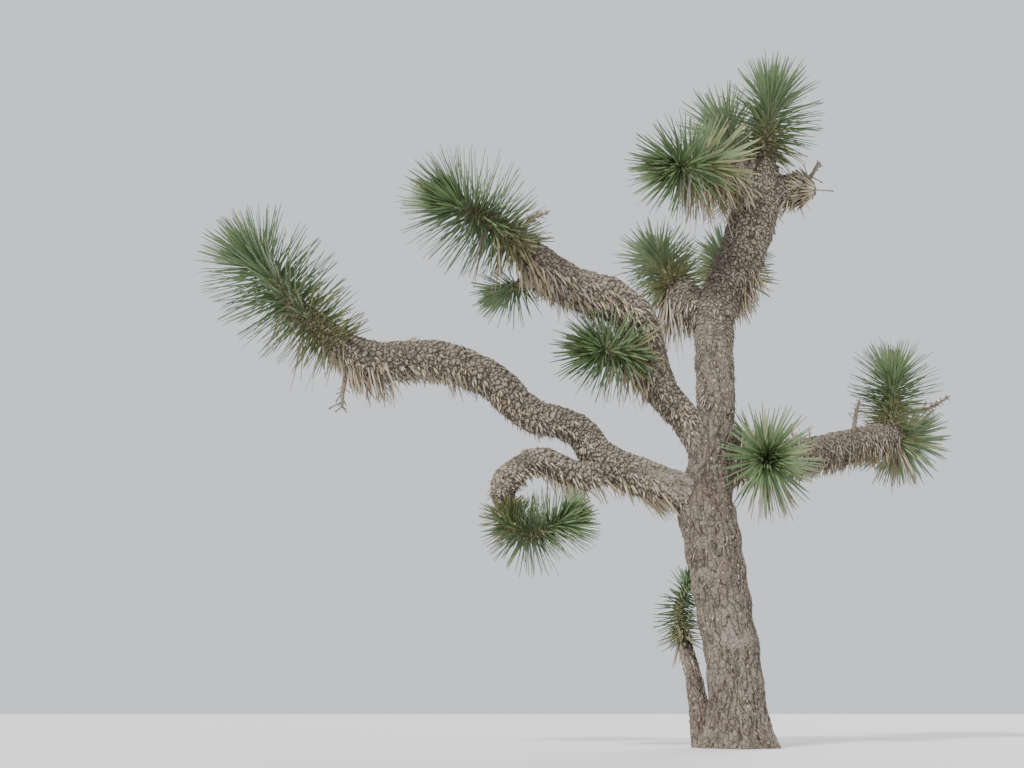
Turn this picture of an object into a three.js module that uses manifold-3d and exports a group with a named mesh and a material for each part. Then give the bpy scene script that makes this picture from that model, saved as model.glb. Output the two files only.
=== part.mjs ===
// A joshua tree, about 3.9 m tall and 4.4 m across: a slightly leaning trunk with a root flare, a leader
// and crooked boughs that fork from it, a sprout at its foot, and a rosette of stiff dagger leaves at the
// end of each limb. Millimetres, +Z up, with the middle of the trunk's foot at the origin on the ground.
import * as THREE from "three";
import { mergeVertices } from "three/addons/utils/BufferGeometryUtils.js";
import Module from "manifold-3d";

const wasm = await Module();
wasm.setup();

// Driving sizes
const CLEARANCE = 0.3; // gap left between pieces that touch
const ROOT_DEPTH = 60; // how far below the ground a foot is drawn before it is cut flat
const GROUND_WIDTH = 3000; // the block below the ground that the feet are cut flat by
const GROUND_THICKNESS = 400;
const LIMB_SIDES = 11;
const LIMB_RING_SPACING = 110;
const LEAST_RINGS = 3;
const KNOB_HEIGHT = 0.035; // swellings along a limb, as a share of its radius
const KNOB_SPACING = 170;
const KNOB_SWAY = 1.7; // how far, in radians, the swellings are out of step round the limb
const KNOB_DRIFT = 260; // length along which that sway turns by one radian
const FLARE_WIDTH = 58; // what the root flare adds to the trunk's radius at the ground
const FLARE_HEIGHT = 130;
const FLARE_LOBES = 5;
const FLARE_LOBE_DEPTH = 0.3;
const FLARE_TURN = 0.8;
const CORE_SIDES = 9;
const CORE_RINGS = 7;
const CORE_SHARE = 0.43; // radius of a rosette's dense core, as a share of its leaves' reach
const CORE_SWELL = 0.3; // share of the stem along which the core swells to its full radius
const DOME_START = 0.62; // share of the stem at which the core starts to round off
const DOME_END = 1.04; // where that dome would close, just past the end of the stem
const LEAF_WIDTH = 38;
const LEAF_THICKNESS = 11;
const LEAF_ROOT = 0.5; // how far out a leaf is rooted, as a share of the core's radius there
const FIRST_LEAF = 0.1; // share of the stem at which the lowest leaf is rooted
const LAST_LEAF = 0.98;
const TIP_SHARE = 0.21; // share of a rosette's leaves that are all rooted at its tip
const CROWN_SHARE = 0.42; // share of a rosette's leaves that fan over its tip
const CROWN_LENGTH = 0.9; // length of the youngest leaves, at the tip, as a share of the full length
const WORN_SHARE = 0.5; // share of a rosette's leaves, at its foot, that may be worn short
const TILTS = [126, 76, 8]; // degrees from the stem's direction: at its foot, its shoulder and its tip
const GOLDEN_ANGLE = 137.508;
const ANGLE_JITTER = 11;
const TILT_JITTER = 8;
const LENGTH_JITTER = 0.08;
const SKIRT_START = 0.08; // share of the stem at which the skirt of withered leaves starts
const SKIRT_SHARE = 0.6; // share of the stem that it hangs from
const SKIRT_SPREAD = 0.35; // how far a withered leaf swings out of plumb
const SKIRT_SIDE = 1.5; // how far round the core it is rooted for each unit of that swing
const SKIRT_LENGTHS = [0.72, 1]; // the shortest and longest of them, as shares of the reach
const LEAF_SPACE = 1.5; // how much wider and longer a leaf is made while its place is tested
const SPACE_TESTS = [0.55, 1]; // where along a leaf its own space is tested
const LINE_SAMPLES = 12; // points of a stem that the distance to it is measured from
const FRAME_STEPS = 40;
const STALK_SIDES = 5;
const STALK_RINGS = 5;
const TWIG_PLACES = [0.55, 0.68, 0.8, 0.92]; // where a dry stalk's twigs leave it
const TWIG_LENGTH = 55;
const TWIG_SIDES = 4;
const TWIG_THICKNESS = 0.75; // a twig's radius at its root, as a share of its stalk's
const TWIG_LEAN = 0.7; // how far a twig leans along its stalk
const MERGE_DISTANCE = 1e-4; // corners nearer than this are one corner
const SEED = 20261;

// A limb leaves its carrier's axis at `from`, a share of the carrier's length, or rises from its own foot
// on the ground. It runs on in stretches of [length, heading, rise], the heading in degrees round from +X
// and the rise in degrees above level. Its radii are evenly spaced along it.
const LIMBS = [
  {
    name: "trunk",
    foot: [0, 0],
    stretches: [
      [280, 0, 89],
      [220, 180, 88],
      [175, 180, 83],
      [310, 180, 84],
      [215, 180, 83],
      [120, 180, 86],
      [415, 0, 79],
    ],
    radii: [136, 132, 137, 143, 147, 154, 118, 112],
  },
  {
    name: "leader",
    on: "trunk",
    from: 0.98,
    stretches: [
      [175, 14, 84],
      [300, 46, 87],
      [220, 28, 82],
      [165, 0, 68],
      [185, -19, 61],
      [330, -42, 66],
      [265, -41, 78],
    ],
    radii: [103, 107, 110, 130, 136, 104],
  },
  {
    name: "left_bough",
    on: "trunk",
    from: 0.755,
    stretches: [
      [370, -171, 18],
      [230, -165, 22],
      [214, -163, 46],
      [265, -162, 13],
      [266, -160, 37],
      [283, -166, 18],
      [310, -167, -5],
      [175, -170, 10],
    ],
    radii: [104, 104, 85, 97, 103, 98],
  },
  {
    name: "curl_bough_rise",
    on: "left_bough",
    from: 0.25,
    stretches: [[205, -157, -21], [205, -161, 18], [125, -168, -8]],
    radii: [80, 75, 71, 70],
  },
  {
    name: "curl_bough_turn",
    on: "curl_bough_rise",
    from: 0.96,
    stretches: [[145, -166, -41], [110, -153, -74]],
    radii: [66, 73, 64],
  },
  {
    name: "second_bough",
    on: "trunk",
    from: 0.84,
    stretches: [[180, -164, 73], [155, -164, 60], [205, -165, 50], [200, -158, 71]],
    radii: [76, 77, 85, 96, 102],
  },
  {
    name: "upper_left_bough",
    on: "second_bough",
    from: 0.97,
    stretches: [[205, -134, 64], [195, -153, 31], [260, -152, 6], [290, -147, 22]],
    radii: [94, 111, 118, 111, 94],
  },
  {
    name: "inner_bough",
    on: "leader",
    from: 0.39,
    stretches: [[200, 123, 46], [200, 124, 48]],
    radii: [100, 112, 96],
  },
  {
    name: "back_bough",
    on: "leader",
    from: 0.51,
    stretches: [[220, 69, 33], [180, 68, 38]],
    radii: [98, 104, 90],
  },
  {
    name: "top_left_bough",
    on: "leader",
    from: 0.815,
    stretches: [[225, -133, 38], [170, -143, 15]],
    radii: [94, 96, 86],
  },
  {
    name: "right_bough",
    on: "trunk",
    from: 0.83,
    stretches: [[260, 24, 26], [410, 30, 9.5], [450, 32, 15.3], [385, 27, 16]],
    radii: [100, 106, 101, 101, 98],
  },
  {
    name: "sprout_stem",
    foot: [-168, 45],
    stretches: [[330, 111, 83], [180, 126, 76], [63, 157, 75]],
    radii: [60, 54, 46, 38],
  },
];

// A rosette's stem grows out of its limb as a limb does, at first with the radius `stem`, and its core
// swells to `fullRadius`. Its leaves reach `reach` from the stem's axis: at its foot only the share `oldest`
// of that where they are worn, and at its tip the share `youngest`. `skirt` more of them, withered, hang
// down from it. `tilts` are the leaves' degrees from the stem's direction.
const ROSETTES = [
  {
    name: "left_tip_rosette",
    on: "left_bough",
    from: 0.985,
    stretches: [[340, -169, 38], [345, -170, 47]],
    stem: 84,
    fullRadius: 148,
    reach: 372,
    oldest: 0.4,
    youngest: 0.88,
    leaves: 88,
    skirt: 3,
  },
  {
    name: "curl_rosette",
    on: "curl_bough_turn",
    from: 0.93,
    stretches: [[130, -20, -77], [143, -22, -33], [176, -16, 19]],
    stem: 56,
    reach: 228,
    oldest: 0.55,
    leaves: 56,
    skirt: 0,
  },
  {
    name: "upper_left_rosette",
    on: "upper_left_bough",
    from: 0.975,
    stretches: [[250, -147, 31], [245, -146, 12]],
    stem: 82,
    fullRadius: 148,
    reach: 368,
    oldest: 0.45,
    youngest: 0.87,
    leaves: 72,
    skirt: 4,
    stalk: { from: 0.22, stretches: [[140, -30, 58], [105, -4, 25]], radii: [18, 14, 6] },
  },
  {
    name: "under_arm_rosette",
    on: "upper_left_bough",
    from: 0.88,
    stretches: [[140, 146, -19], [110, 151, -13]],
    stem: 62,
    reach: 238,
    leaves: 42,
    skirt: 0,
  },
  {
    name: "middle_rosette",
    on: "second_bough",
    from: 0.985,
    stretches: [[165, -153, -1], [160, -146, -7]],
    stem: 86,
    reach: 305,
    oldest: 0.6,
    leaves: 54,
    skirt: 6,
  },
  {
    name: "inner_rosette",
    on: "inner_bough",
    from: 0.95,
    stretches: [[225, 116, 56], [180, 124, 56]],
    stem: 84,
    fullRadius: 148,
    reach: 298,
    leaves: 56,
    skirt: 12,
  },
  {
    name: "back_rosette",
    on: "back_bough",
    from: 0.94,
    stretches: [[190, 76, 45], [170, 85, 42]],
    stem: 80,
    fullRadius: 148,
    reach: 300,
    leaves: 56,
    skirt: 12,
  },
  {
    name: "top_left_rosette",
    on: "top_left_bough",
    from: 0.94,
    stretches: [[150, -150, -6], [175, -147, -22]],
    stem: 76,
    reach: 320,
    leaves: 60,
    skirt: 10,
  },
  {
    name: "top_rosette",
    on: "leader",
    from: 0.985,
    stretches: [[180, -46, 74], [230, -52, 74]],
    stem: 92,
    reach: 340,
    oldest: 0.65,
    leaves: 76,
    skirt: 0,
  },
  {
    name: "top_back_rosette",
    on: "leader",
    from: 0.88,
    stretches: [[345, 116, 69], [300, 113, 64]],
    stem: 84,
    reach: 350,
    leaves: 64,
    skirt: 0,
  },
  {
    name: "right_upper_rosette",
    on: "right_bough",
    from: 0.985,
    stretches: [[190, 0, 70], [195, -53, 82]],
    stem: 78,
    fullRadius: 112,
    reach: 315,
    oldest: 0.35,
    leaves: 60,
    skirt: 0,
    tilts: [106, 74, 8],
    stalk: { from: 0.4, stretches: [[150, 8, 12], [120, 0, 14], [140, 0, 30]], radii: [15, 12, 9, 5] },
  },
  {
    name: "right_tip_rosette",
    on: "right_bough",
    from: 0.98,
    stretches: [[165, 43, 8], [195, 54, 12]],
    stem: 82,
    reach: 310,
    leaves: 60,
    skirt: 6,
  },
  {
    name: "right_front_rosette",
    on: "right_bough",
    from: 0.28,
    stretches: [[165, -105, -14], [200, -98, -13]],
    stem: 76,
    reach: 330,
    leaves: 60,
    skirt: 6,
  },
  {
    name: "sprout_rosette",
    on: "sprout_stem",
    from: 0.96,
    stretches: [[132, 159, 79], [116, 35, 82], [113, 12, 63]],
    stem: 36,
    fullRadius: 52,
    reach: 185,
    oldest: 0.8,
    youngest: 0.55,
    leaves: 48,
    skirt: 4,
    tilts: [108, 90, 6],
  },
  {
    name: "dry_spur",
    on: "leader",
    from: 0.875,
    stretches: [[202, 6, 21], [153, 8, 2]],
    stem: 118,
    fullRadius: 118,
    reach: 215,
    leaves: 40,
    skirt: 10,
    tilts: [160, 150, 140],
    stalk: { from: 0.94, stretches: [[78, 22, 82], [57, -4, 58], [65, -3, 58]], radii: [15, 13, 11, 14] },
  },
];

// The dry flower stalks that are left on the bare boughs
const DRY_STALKS = [
  {
    name: "left_dry_stalk",
    on: "left_bough",
    from: 0.985,
    stretches: [[170, -170, -76], [115, -150, -88]],
    radii: [15, 13, 7],
  },
  {
    name: "right_dry_stalk",
    on: "right_bough",
    from: 0.785,
    stretches: [[180, 20, 74], [125, 0, 72]],
    radii: [15, 13, 6],
  },
];

const COLOURS = {
  bark: new THREE.MeshStandardMaterial({ color: 0x5b4f42, roughness: 0.95, metalness: 0 }),
  thatch: new THREE.MeshStandardMaterial({ color: 0x8a7a62, roughness: 0.9, metalness: 0 }),
  leaf: new THREE.MeshStandardMaterial({ color: 0x5d6b42, roughness: 0.6, metalness: 0 }),
  stalk: new THREE.MeshStandardMaterial({ color: 0x4a3d30, roughness: 0.9, metalness: 0 }),
};

// A repeatable random number from 0 to 1, one for each call
function seededRandom(seed) {
  let state = seed >>> 0;
  return () => {
    state = (state + 0x6d2b79f5) >>> 0;
    let mixed = Math.imul(state ^ (state >>> 15), state | 1);
    mixed ^= mixed + Math.imul(mixed ^ (mixed >>> 7), mixed | 61);
    return ((mixed ^ (mixed >>> 14)) >>> 0) / 2 ** 32;
  };
}

// A closed three.js geometry as a solid that can be joined and cut
function solidOf(geometry) {
  const bare = geometry.clone();
  bare.deleteAttribute("normal");
  bare.deleteAttribute("uv");
  const merged = mergeVertices(bare, MERGE_DISTANCE);
  return new wasm.Manifold(
    new wasm.Mesh({
      numProp: 3,
      vertProperties: merged.attributes.position.array,
      triVerts: new Uint32Array(merged.index.array),
    }),
  );
}

// The solid's surface as a three.js geometry with flat faces
function geometryOf(solid) {
  const mesh = solid.getMesh();
  const indexed = new THREE.BufferGeometry();
  indexed.setAttribute("position", new THREE.BufferAttribute(mesh.vertProperties, 3));
  indexed.setIndex(new THREE.BufferAttribute(mesh.triVerts, 1));
  const flat = indexed.toNonIndexed();
  flat.computeVertexNormals();
  return flat;
}

// The smooth line along the stretches of a limb, a stem or a stalk that grows from its carrier
function lineOf(item, carriers) {
  const point = item.foot
    ? new THREE.Vector3(item.foot[0], item.foot[1], -ROOT_DEPTH)
    : carriers[item.on].getPointAt(item.from);
  const points = [point.clone()];
  for (const [length, heading, rise] of item.stretches) {
    const turn = THREE.MathUtils.degToRad(heading);
    const lift = THREE.MathUtils.degToRad(rise);
    const level = Math.cos(lift);
    const step = new THREE.Vector3(level * Math.cos(turn), level * Math.sin(turn), Math.sin(lift));
    points.push(point.addScaledVector(step, length).clone());
  }
  return new THREE.CatmullRomCurve3(points, false, "catmullrom");
}

// The radius at a share of a length along which the given radii are evenly spaced
function radiusAt(radii, share) {
  const place = share * (radii.length - 1);
  const before = Math.min(Math.floor(place), radii.length - 2);
  return THREE.MathUtils.lerp(radii[before], radii[before + 1], place - before);
}

// A closed cylinder bent along a line. radius(share, angle) is its radius, and `extra` lengthens its ends.
function bentCylinder(line, sides, rings, radius, extra = 0) {
  const geometry = new THREE.CylinderGeometry(1, 1, 1, sides, rings);
  const frames = line.computeFrenetFrames(rings, false);
  const centres = line.getSpacedPoints(rings);
  centres[0].addScaledVector(frames.tangents[0], -extra);
  centres[rings].addScaledVector(frames.tangents[rings], extra);
  const corners = geometry.attributes.position;
  const corner = new THREE.Vector3();
  const placed = new THREE.Vector3();
  for (let i = 0; i < corners.count; i++) {
    corner.fromBufferAttribute(corners, i);
    const ring = Math.round((corner.y + 0.5) * rings);
    const onRim = Math.hypot(corner.x, corner.z) > 0.5;
    const angle = Math.atan2(-corner.z, corner.x);
    const size = onRim ? radius(ring / rings, angle) : 0;
    placed
      .copy(centres[ring])
      .addScaledVector(frames.normals[ring], size * Math.cos(angle))
      .addScaledVector(frames.binormals[ring], size * Math.sin(angle));
    corners.setXYZ(i, placed.x, placed.y, placed.z);
  }
  return solidOf(geometry);
}

// The largest of a solid's loose pieces
function largestPiece(solid) {
  return solid.decompose().reduce((best, piece) => (piece.volume() > best.volume() ? piece : best));
}

// Whether two solids' boxes meet
function boxesMeet(a, b) {
  const first = a.boundingBox();
  const second = b.boundingBox();
  return [0, 1, 2].every((k) => first.min[k] < second.max[k] && second.min[k] < first.max[k]);
}

// A solid less each of the others that it meets
function cutClear(solid, others) {
  const near = others.filter((other) => boxesMeet(solid, other));
  return near.length ? largestPiece(near.reduce((left, other) => left.subtract(other), solid)) : solid;
}

// A limb's radius: its own taper, with swellings that fade out at both of its ends
function limbRadius(limb, line, grown) {
  const length = line.getLength();
  return (share, angle) => {
    const along = share * length;
    const fade = Math.sin(Math.PI * share);
    const sway = KNOB_SWAY * Math.sin(angle + along / KNOB_DRIFT);
    const swelling = Math.sin((2 * Math.PI * along) / KNOB_SPACING + sway);
    let radius = radiusAt(limb.radii, share) * (1 + KNOB_HEIGHT * fade * swelling);
    if (limb.name === "trunk") {
      const height = Math.max(line.getPointAt(share).z, 0);
      const lobe = 1 + FLARE_LOBE_DEPTH * Math.cos(FLARE_LOBES * angle + FLARE_TURN);
      radius += FLARE_WIDTH * lobe * Math.exp(-height / FLARE_HEIGHT);
    }
    return radius + grown;
  };
}

// A limb as a tapering bent cylinder, cut clear of the limbs made before it and flat at the ground
function makeLimb(limb, line, taken, ground) {
  const rings = Math.max(LEAST_RINGS, Math.round(line.getLength() / LIMB_RING_SPACING));
  const grownBy = CLEARANCE / Math.cos(Math.PI / LIMB_SIDES);
  const plain = bentCylinder(line, LIMB_SIDES, rings, limbRadius(limb, line, 0));
  const grown = bentCylinder(line, LIMB_SIDES, rings, limbRadius(limb, line, grownBy), CLEARANCE);
  return { solid: cutClear(plain, [...taken, ground]), grown };
}

// The radius of a rosette's core, which swells from its stem and rounds off at its tip
function coreRadius(rosette, share) {
  const full = rosette.fullRadius ?? CORE_SHARE * rosette.reach;
  const swell = THREE.MathUtils.smoothstep(share, 0, CORE_SWELL);
  const swollen = THREE.MathUtils.lerp(rosette.stem, full, swell);
  const over = Math.max(0, share - DOME_START) / (DOME_END - DOME_START);
  return swollen * Math.sqrt(1 - over * over);
}

// A rosette's core, cut clear of the limb it grows from, and the same a little grown
function makeCore(rosette, taken) {
  const grownBy = CLEARANCE / Math.cos(Math.PI / CORE_SIDES);
  const plain = bentCylinder(rosette.line, CORE_SIDES, CORE_RINGS, (share) => coreRadius(rosette, share));
  const grown = bentCylinder(
    rosette.line,
    CORE_SIDES,
    CORE_RINGS,
    (share) => coreRadius(rosette, share) + grownBy,
    CLEARANCE,
  );
  return { core: cutClear(plain, taken), grown };
}

// A dagger leaf: a three-sided spike with its flat face up, along a direction from its root
function makeLeaf({ root, direction, up, length }, spare = 0) {
  const spike = new THREE.ConeGeometry(1, length + spare, 3, 1);
  spike.translate(0, length / 2, 0);
  spike.scale((LEAF_WIDTH + 2 * spare) / Math.sqrt(3), 1, (LEAF_THICKNESS + 2 * spare) / 1.5);
  const across = new THREE.Vector3().crossVectors(direction, up).normalize();
  const face = new THREE.Vector3().crossVectors(across, direction);
  spike.applyMatrix4(new THREE.Matrix4().makeBasis(across, direction, face).setPosition(root));
  return solidOf(spike);
}

// The tilt of a leaf from its stem's direction, for its place from the rosette's foot, 0, to its tip, 1
function leafTilt(place, rosette) {
  const [foot, shoulder, tip] = rosette.tilts ?? TILTS;
  const shaft = 1 - CROWN_SHARE;
  if (place < shaft) {
    return THREE.MathUtils.lerp(foot, shoulder, place / shaft);
  }
  const shoulderRise = Math.cos(THREE.MathUtils.degToRad(shoulder));
  const tipRise = Math.cos(THREE.MathUtils.degToRad(tip));
  const rise = THREE.MathUtils.lerp(shoulderRise, tipRise, (place - shaft) / CROWN_SHARE);
  return THREE.MathUtils.radToDeg(Math.acos(rise));
}

// A place for a leaf on a rosette's stem, from its share of the stem, its spin round it and its tilt
function leafPlace(rosette, share, spin, tilt, length) {
  const { line, frames } = rosette;
  const step = Math.round(share * (frames.tangents.length - 1));
  const outward = new THREE.Vector3()
    .addScaledVector(frames.normals[step], Math.cos(spin))
    .addScaledVector(frames.binormals[step], Math.sin(spin));
  const direction = new THREE.Vector3()
    .addScaledVector(frames.tangents[step], Math.cos(tilt))
    .addScaledVector(outward, Math.sin(tilt));
  const offset = LEAF_ROOT * coreRadius(rosette, share);
  const root = line.getPointAt(share).addScaledVector(outward, offset);
  return { root, direction, up: frames.tangents[step].clone(), length: length - offset };
}

// Where a rosette's live leaves grow: a golden-angle spiral up the stem, then over its tip
function leafPlaces(rosette, random) {
  const places = [];
  const vary = (range) => (2 * random() - 1) * range;
  for (let i = 0; i < rosette.leaves; i++) {
    const place = (i + 0.5) / rosette.leaves;
    const share = THREE.MathUtils.lerp(FIRST_LEAF, LAST_LEAF, Math.min(place / (1 - TIP_SHARE), 1));
    const spin = THREE.MathUtils.degToRad(i * GOLDEN_ANGLE + vary(ANGLE_JITTER));
    const tilt = THREE.MathUtils.degToRad(leafTilt(place, rosette) + vary(TILT_JITTER));
    const worn = THREE.MathUtils.lerp(rosette.oldest ?? 1, 1, Math.min(place / WORN_SHARE, 1));
    const full = rosette.reach * worn * THREE.MathUtils.lerp(1, rosette.youngest ?? CROWN_LENGTH, place);
    places.push(leafPlace(rosette, share, spin, tilt, full * (1 + vary(LENGTH_JITTER))));
  }
  return places;
}

// Where a rosette's withered leaves hang: from the underside of its stem, near its foot
function skirtPlaces(rosette, random) {
  const places = [];
  for (let i = 0; i < rosette.skirt; i++) {
    const share = SKIRT_START + (SKIRT_SHARE * (i + random())) / rosette.skirt;
    const swing = new THREE.Vector3(random() - 0.5, random() - 0.5, 0).multiplyScalar(2 * SKIRT_SPREAD);
    const direction = new THREE.Vector3(0, 0, -1).add(swing).normalize();
    const outward = direction.clone().addScaledVector(swing, SKIRT_SIDE);
    const offset = LEAF_ROOT * coreRadius(rosette, share);
    const root = rosette.line.getPointAt(share).addScaledVector(outward.normalize(), offset);
    const up = new THREE.Vector3(Math.cos(i), Math.sin(i), 0);
    const length = rosette.reach * THREE.MathUtils.lerp(...SKIRT_LENGTHS, random());
    places.push({ root, direction, up, length });
  }
  return places;
}

// How far a point is from a rosette's stem, as a share of the reach of its leaves
function nearness(point, rosette) {
  return Math.min(...rosette.samples.map((sample) => sample.distanceTo(point))) / rosette.reach;
}

// Whether a leaf stays in its rosette's own space, nearer to its own stem than to any other
function inOwnSpace(leaf, rosette, rosettes) {
  return SPACE_TESTS.every((share) => {
    const point = leaf.root.clone().addScaledVector(leaf.direction, share * leaf.length);
    const own = nearness(point, rosette);
    return rosettes.every((other) => other === rosette || nearness(point, other) >= own);
  });
}

// Whether a solid touches any of the others
function touchesAny(solid, others) {
  return others.some((other) => boxesMeet(solid, other) && !solid.intersect(other).isEmpty());
}

// A dry flower stalk: a thin bent rod with short side twigs
function makeStalk(stalk, line, random) {
  const rod = bentCylinder(line, STALK_SIDES, STALK_RINGS, (share) => radiusAt(stalk.radii, share));
  const twigs = TWIG_PLACES.map((share, i) => {
    const along = line.getTangentAt(share);
    const side = new THREE.Vector3(random() - 0.5, random() - 0.5, random() - 0.5).cross(along).normalize();
    const direction = side.multiplyScalar(i % 2 ? 1 : -1).addScaledVector(along, TWIG_LEAN).normalize();
    const thickness = TWIG_THICKNESS * radiusAt(stalk.radii, share);
    const twig = new THREE.ConeGeometry(thickness, TWIG_LENGTH, TWIG_SIDES, 1);
    twig.translate(0, TWIG_LENGTH / 2, 0);
    twig.applyQuaternion(new THREE.Quaternion().setFromUnitVectors(new THREE.Vector3(0, 1, 0), direction));
    twig.translate(...line.getPointAt(share).toArray());
    return solidOf(twig);
  });
  return wasm.Manifold.union([rod, ...twigs]);
}

// A rosette: its core with every leaf that keeps its own space and stays clear of all that is around it
function makeRosette(rosette, rosettes, around, random) {
  const leaves = [...leafPlaces(rosette, random), ...skirtPlaces(rosette, random)]
    .filter((leaf) => inOwnSpace(leaf, rosette, rosettes))
    .filter((leaf) => !touchesAny(makeLeaf(leaf, LEAF_SPACE), around))
    .map((leaf) => makeLeaf(leaf));
  const pieces = [rosette.core, ...leaves];
  if (rosette.stalk) {
    const line = lineOf({ ...rosette.stalk, on: rosette.name }, { [rosette.name]: rosette.line });
    pieces.push(cutClear(makeStalk(rosette.stalk, line, random), around));
  }
  return largestPiece(wasm.Manifold.union(pieces));
}

const tree = new THREE.Group();

function addNode(name, solid, material) {
  const mesh = new THREE.Mesh(geometryOf(solid), material);
  mesh.name = name;
  tree.add(mesh);
}

const random = seededRandom(SEED);
const block = new THREE.BoxGeometry(GROUND_WIDTH, GROUND_WIDTH, GROUND_THICKNESS);
const ground = solidOf(block.translate(0, 0, -GROUND_THICKNESS / 2));
const carriers = {};
const taken = [];
for (const limb of LIMBS) {
  carriers[limb.name] = lineOf(limb, carriers);
  const { solid, grown } = makeLimb(limb, carriers[limb.name], taken, ground);
  taken.push(grown);
  addNode(limb.name, solid, limb.name === "trunk" ? COLOURS.bark : COLOURS.thatch);
}

const rosettes = ROSETTES.map((sizes) => {
  const line = lineOf(sizes, carriers);
  const frames = line.computeFrenetFrames(FRAME_STEPS, false);
  return { ...sizes, line, frames, samples: line.getSpacedPoints(LINE_SAMPLES) };
});
for (const rosette of rosettes) {
  Object.assign(rosette, makeCore(rosette, taken));
  taken.push(rosette.grown);
}
const made = [];
for (const rosette of rosettes) {
  const around = [...taken.filter((other) => other !== rosette.grown), ...made];
  const solid = makeRosette(rosette, rosettes, around, random);
  made.push(solid);
  addNode(rosette.name, solid, rosette.name === "dry_spur" ? COLOURS.thatch : COLOURS.leaf);
}

for (const stalk of DRY_STALKS) {
  const solid = makeStalk(stalk, lineOf(stalk, carriers), random);
  addNode(stalk.name, cutClear(solid, [...taken, ...made]), COLOURS.stalk);
}

export default tree;
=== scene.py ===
"""A joshua tree in daylight: bark in relief on its limbs, and thousands of stiff dagger leaves.

The limbs and the rosettes follow the rules and the sizes of the part's solids, carried on to finer
leaves. Metres, +Z up, with the middle of the trunk's foot at the origin on the ground. +X is to the right
and +Y away from the camera.
"""

import logging
import math
from collections.abc import Callable, Sequence
from dataclasses import dataclass, field
from enum import Enum
from functools import partial

import bmesh
import bpy
import numpy as np
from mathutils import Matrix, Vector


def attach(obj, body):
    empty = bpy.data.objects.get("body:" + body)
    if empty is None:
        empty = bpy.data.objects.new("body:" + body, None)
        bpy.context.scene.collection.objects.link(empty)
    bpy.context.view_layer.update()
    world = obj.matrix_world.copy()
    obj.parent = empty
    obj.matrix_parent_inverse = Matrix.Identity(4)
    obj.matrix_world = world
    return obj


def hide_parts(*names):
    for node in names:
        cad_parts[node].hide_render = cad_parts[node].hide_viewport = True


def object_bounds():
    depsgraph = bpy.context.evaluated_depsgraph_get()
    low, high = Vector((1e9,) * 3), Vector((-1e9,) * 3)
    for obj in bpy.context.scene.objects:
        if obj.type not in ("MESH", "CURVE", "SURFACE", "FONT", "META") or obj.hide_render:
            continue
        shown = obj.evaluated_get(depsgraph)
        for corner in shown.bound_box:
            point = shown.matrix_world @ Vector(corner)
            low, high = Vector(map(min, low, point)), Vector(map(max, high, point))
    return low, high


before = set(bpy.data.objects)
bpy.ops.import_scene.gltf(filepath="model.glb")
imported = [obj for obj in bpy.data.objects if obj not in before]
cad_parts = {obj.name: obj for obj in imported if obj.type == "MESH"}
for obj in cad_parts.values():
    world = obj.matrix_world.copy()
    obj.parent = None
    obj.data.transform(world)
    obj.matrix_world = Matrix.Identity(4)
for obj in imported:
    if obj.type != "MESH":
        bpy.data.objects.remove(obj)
CAD_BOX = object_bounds()
LOG = logging.getLogger("joshua_tree")

BODY = "root"
SEED = 20261

# Limbs
ROOT_DEPTH = 0.060
KNOB_HEIGHT = 0.035
KNOB_SPACING = 0.170
KNOB_SWAY = 1.7
KNOB_DRIFT = 0.260
FLARE_WIDTH = 0.058
FLARE_HEIGHT = 0.130
FLARE_LOBES = 5
FLARE_LOBE_DEPTH = 0.3
FLARE_TURN = 0.8

# The stem inside a rosette, in shares of its radius and its length
STEM_FOOT = 0.92
DOME_START = 0.84
DOME_END = 1.04

# Live leaves: FINER of them for each wide leaf of the solids, of which SHORT_SHARE are short, which leaves
# the longest ones apart
FINER = 8
FIRST_LEAF = 0.1
LAST_LEAF = 0.98
TIP_SHARE = 0.21
CROWN_SHARE = 0.42
WORN_SHARE = 0.5
TILTS = (126.0, 76.0, 8.0)
GOLDEN_ANGLE = 137.508
ANGLE_JITTER = 11.0
TILT_JITTER = 8.0
LENGTH_JITTER = 0.08
SHORT_SHARE = 0.4
SHORT_LENGTHS = (0.5, 0.85)
LEAF_ROOT = 0.85
LEAF_WIDTHS = (0.85, 1.15)
LEAF_THICKNESSES = (0.9, 1.2)
LEAF_SAGS = (-0.5, 1.6)
AGE_JITTER = 0.22
GROWN_FROM = 0.3
YOUNG_FROM = 0.72
SPACE_TESTS = (0.55, 1.0)
SHORTER = (1.0, 0.92, 0.84, 0.76, 0.68, 0.6, 0.52)

# The heart: the young leaves at a stem's tip
HEART_PLACE = 0.985
HEART_SPREAD = 0.8
HEART_JITTER = 2.0
HEART_LENGTHS = (0.78, 0.86)
HEART_SHARES = (0.45, 1.1)
HEART_FACING = 0.3

# Withered leaves under a rosette
FINER_SKIRT = 5
SKIRT_START = 0.08
SKIRT_SHARE = 0.6
SKIRT_SPREAD = 0.35
SKIRT_SIDE = 1.5
SKIRT_LENGTHS = (0.72, 1.0)
SKIRT_WIDTHS = (0.6, 1.1)
SKIRT_SAGS = (-0.2, 0.2)
SKIRT_FACING = (1, 1, 0.1)
WITHERED_THICKNESSES = (0.5, 0.9)
SPUR_LENGTHS = (0.45, 1.0)

# Stubs of old leaves along a limb
STUB_DEPTH = 0.010
STUB_ROOT = 0.008
STUB_OUT = 0.5
STUB_BACK = 0.55
STUB_DROPS = (0.3, 1.0)
STUB_JITTER = 0.22
STUB_WIDTHS = (0.6, 1.2)
STUB_SAGS = (0.0, 1.0)
STUB_FLOOR = 0.05
UNDERSIDE = (-0.35, 0.75)

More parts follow.
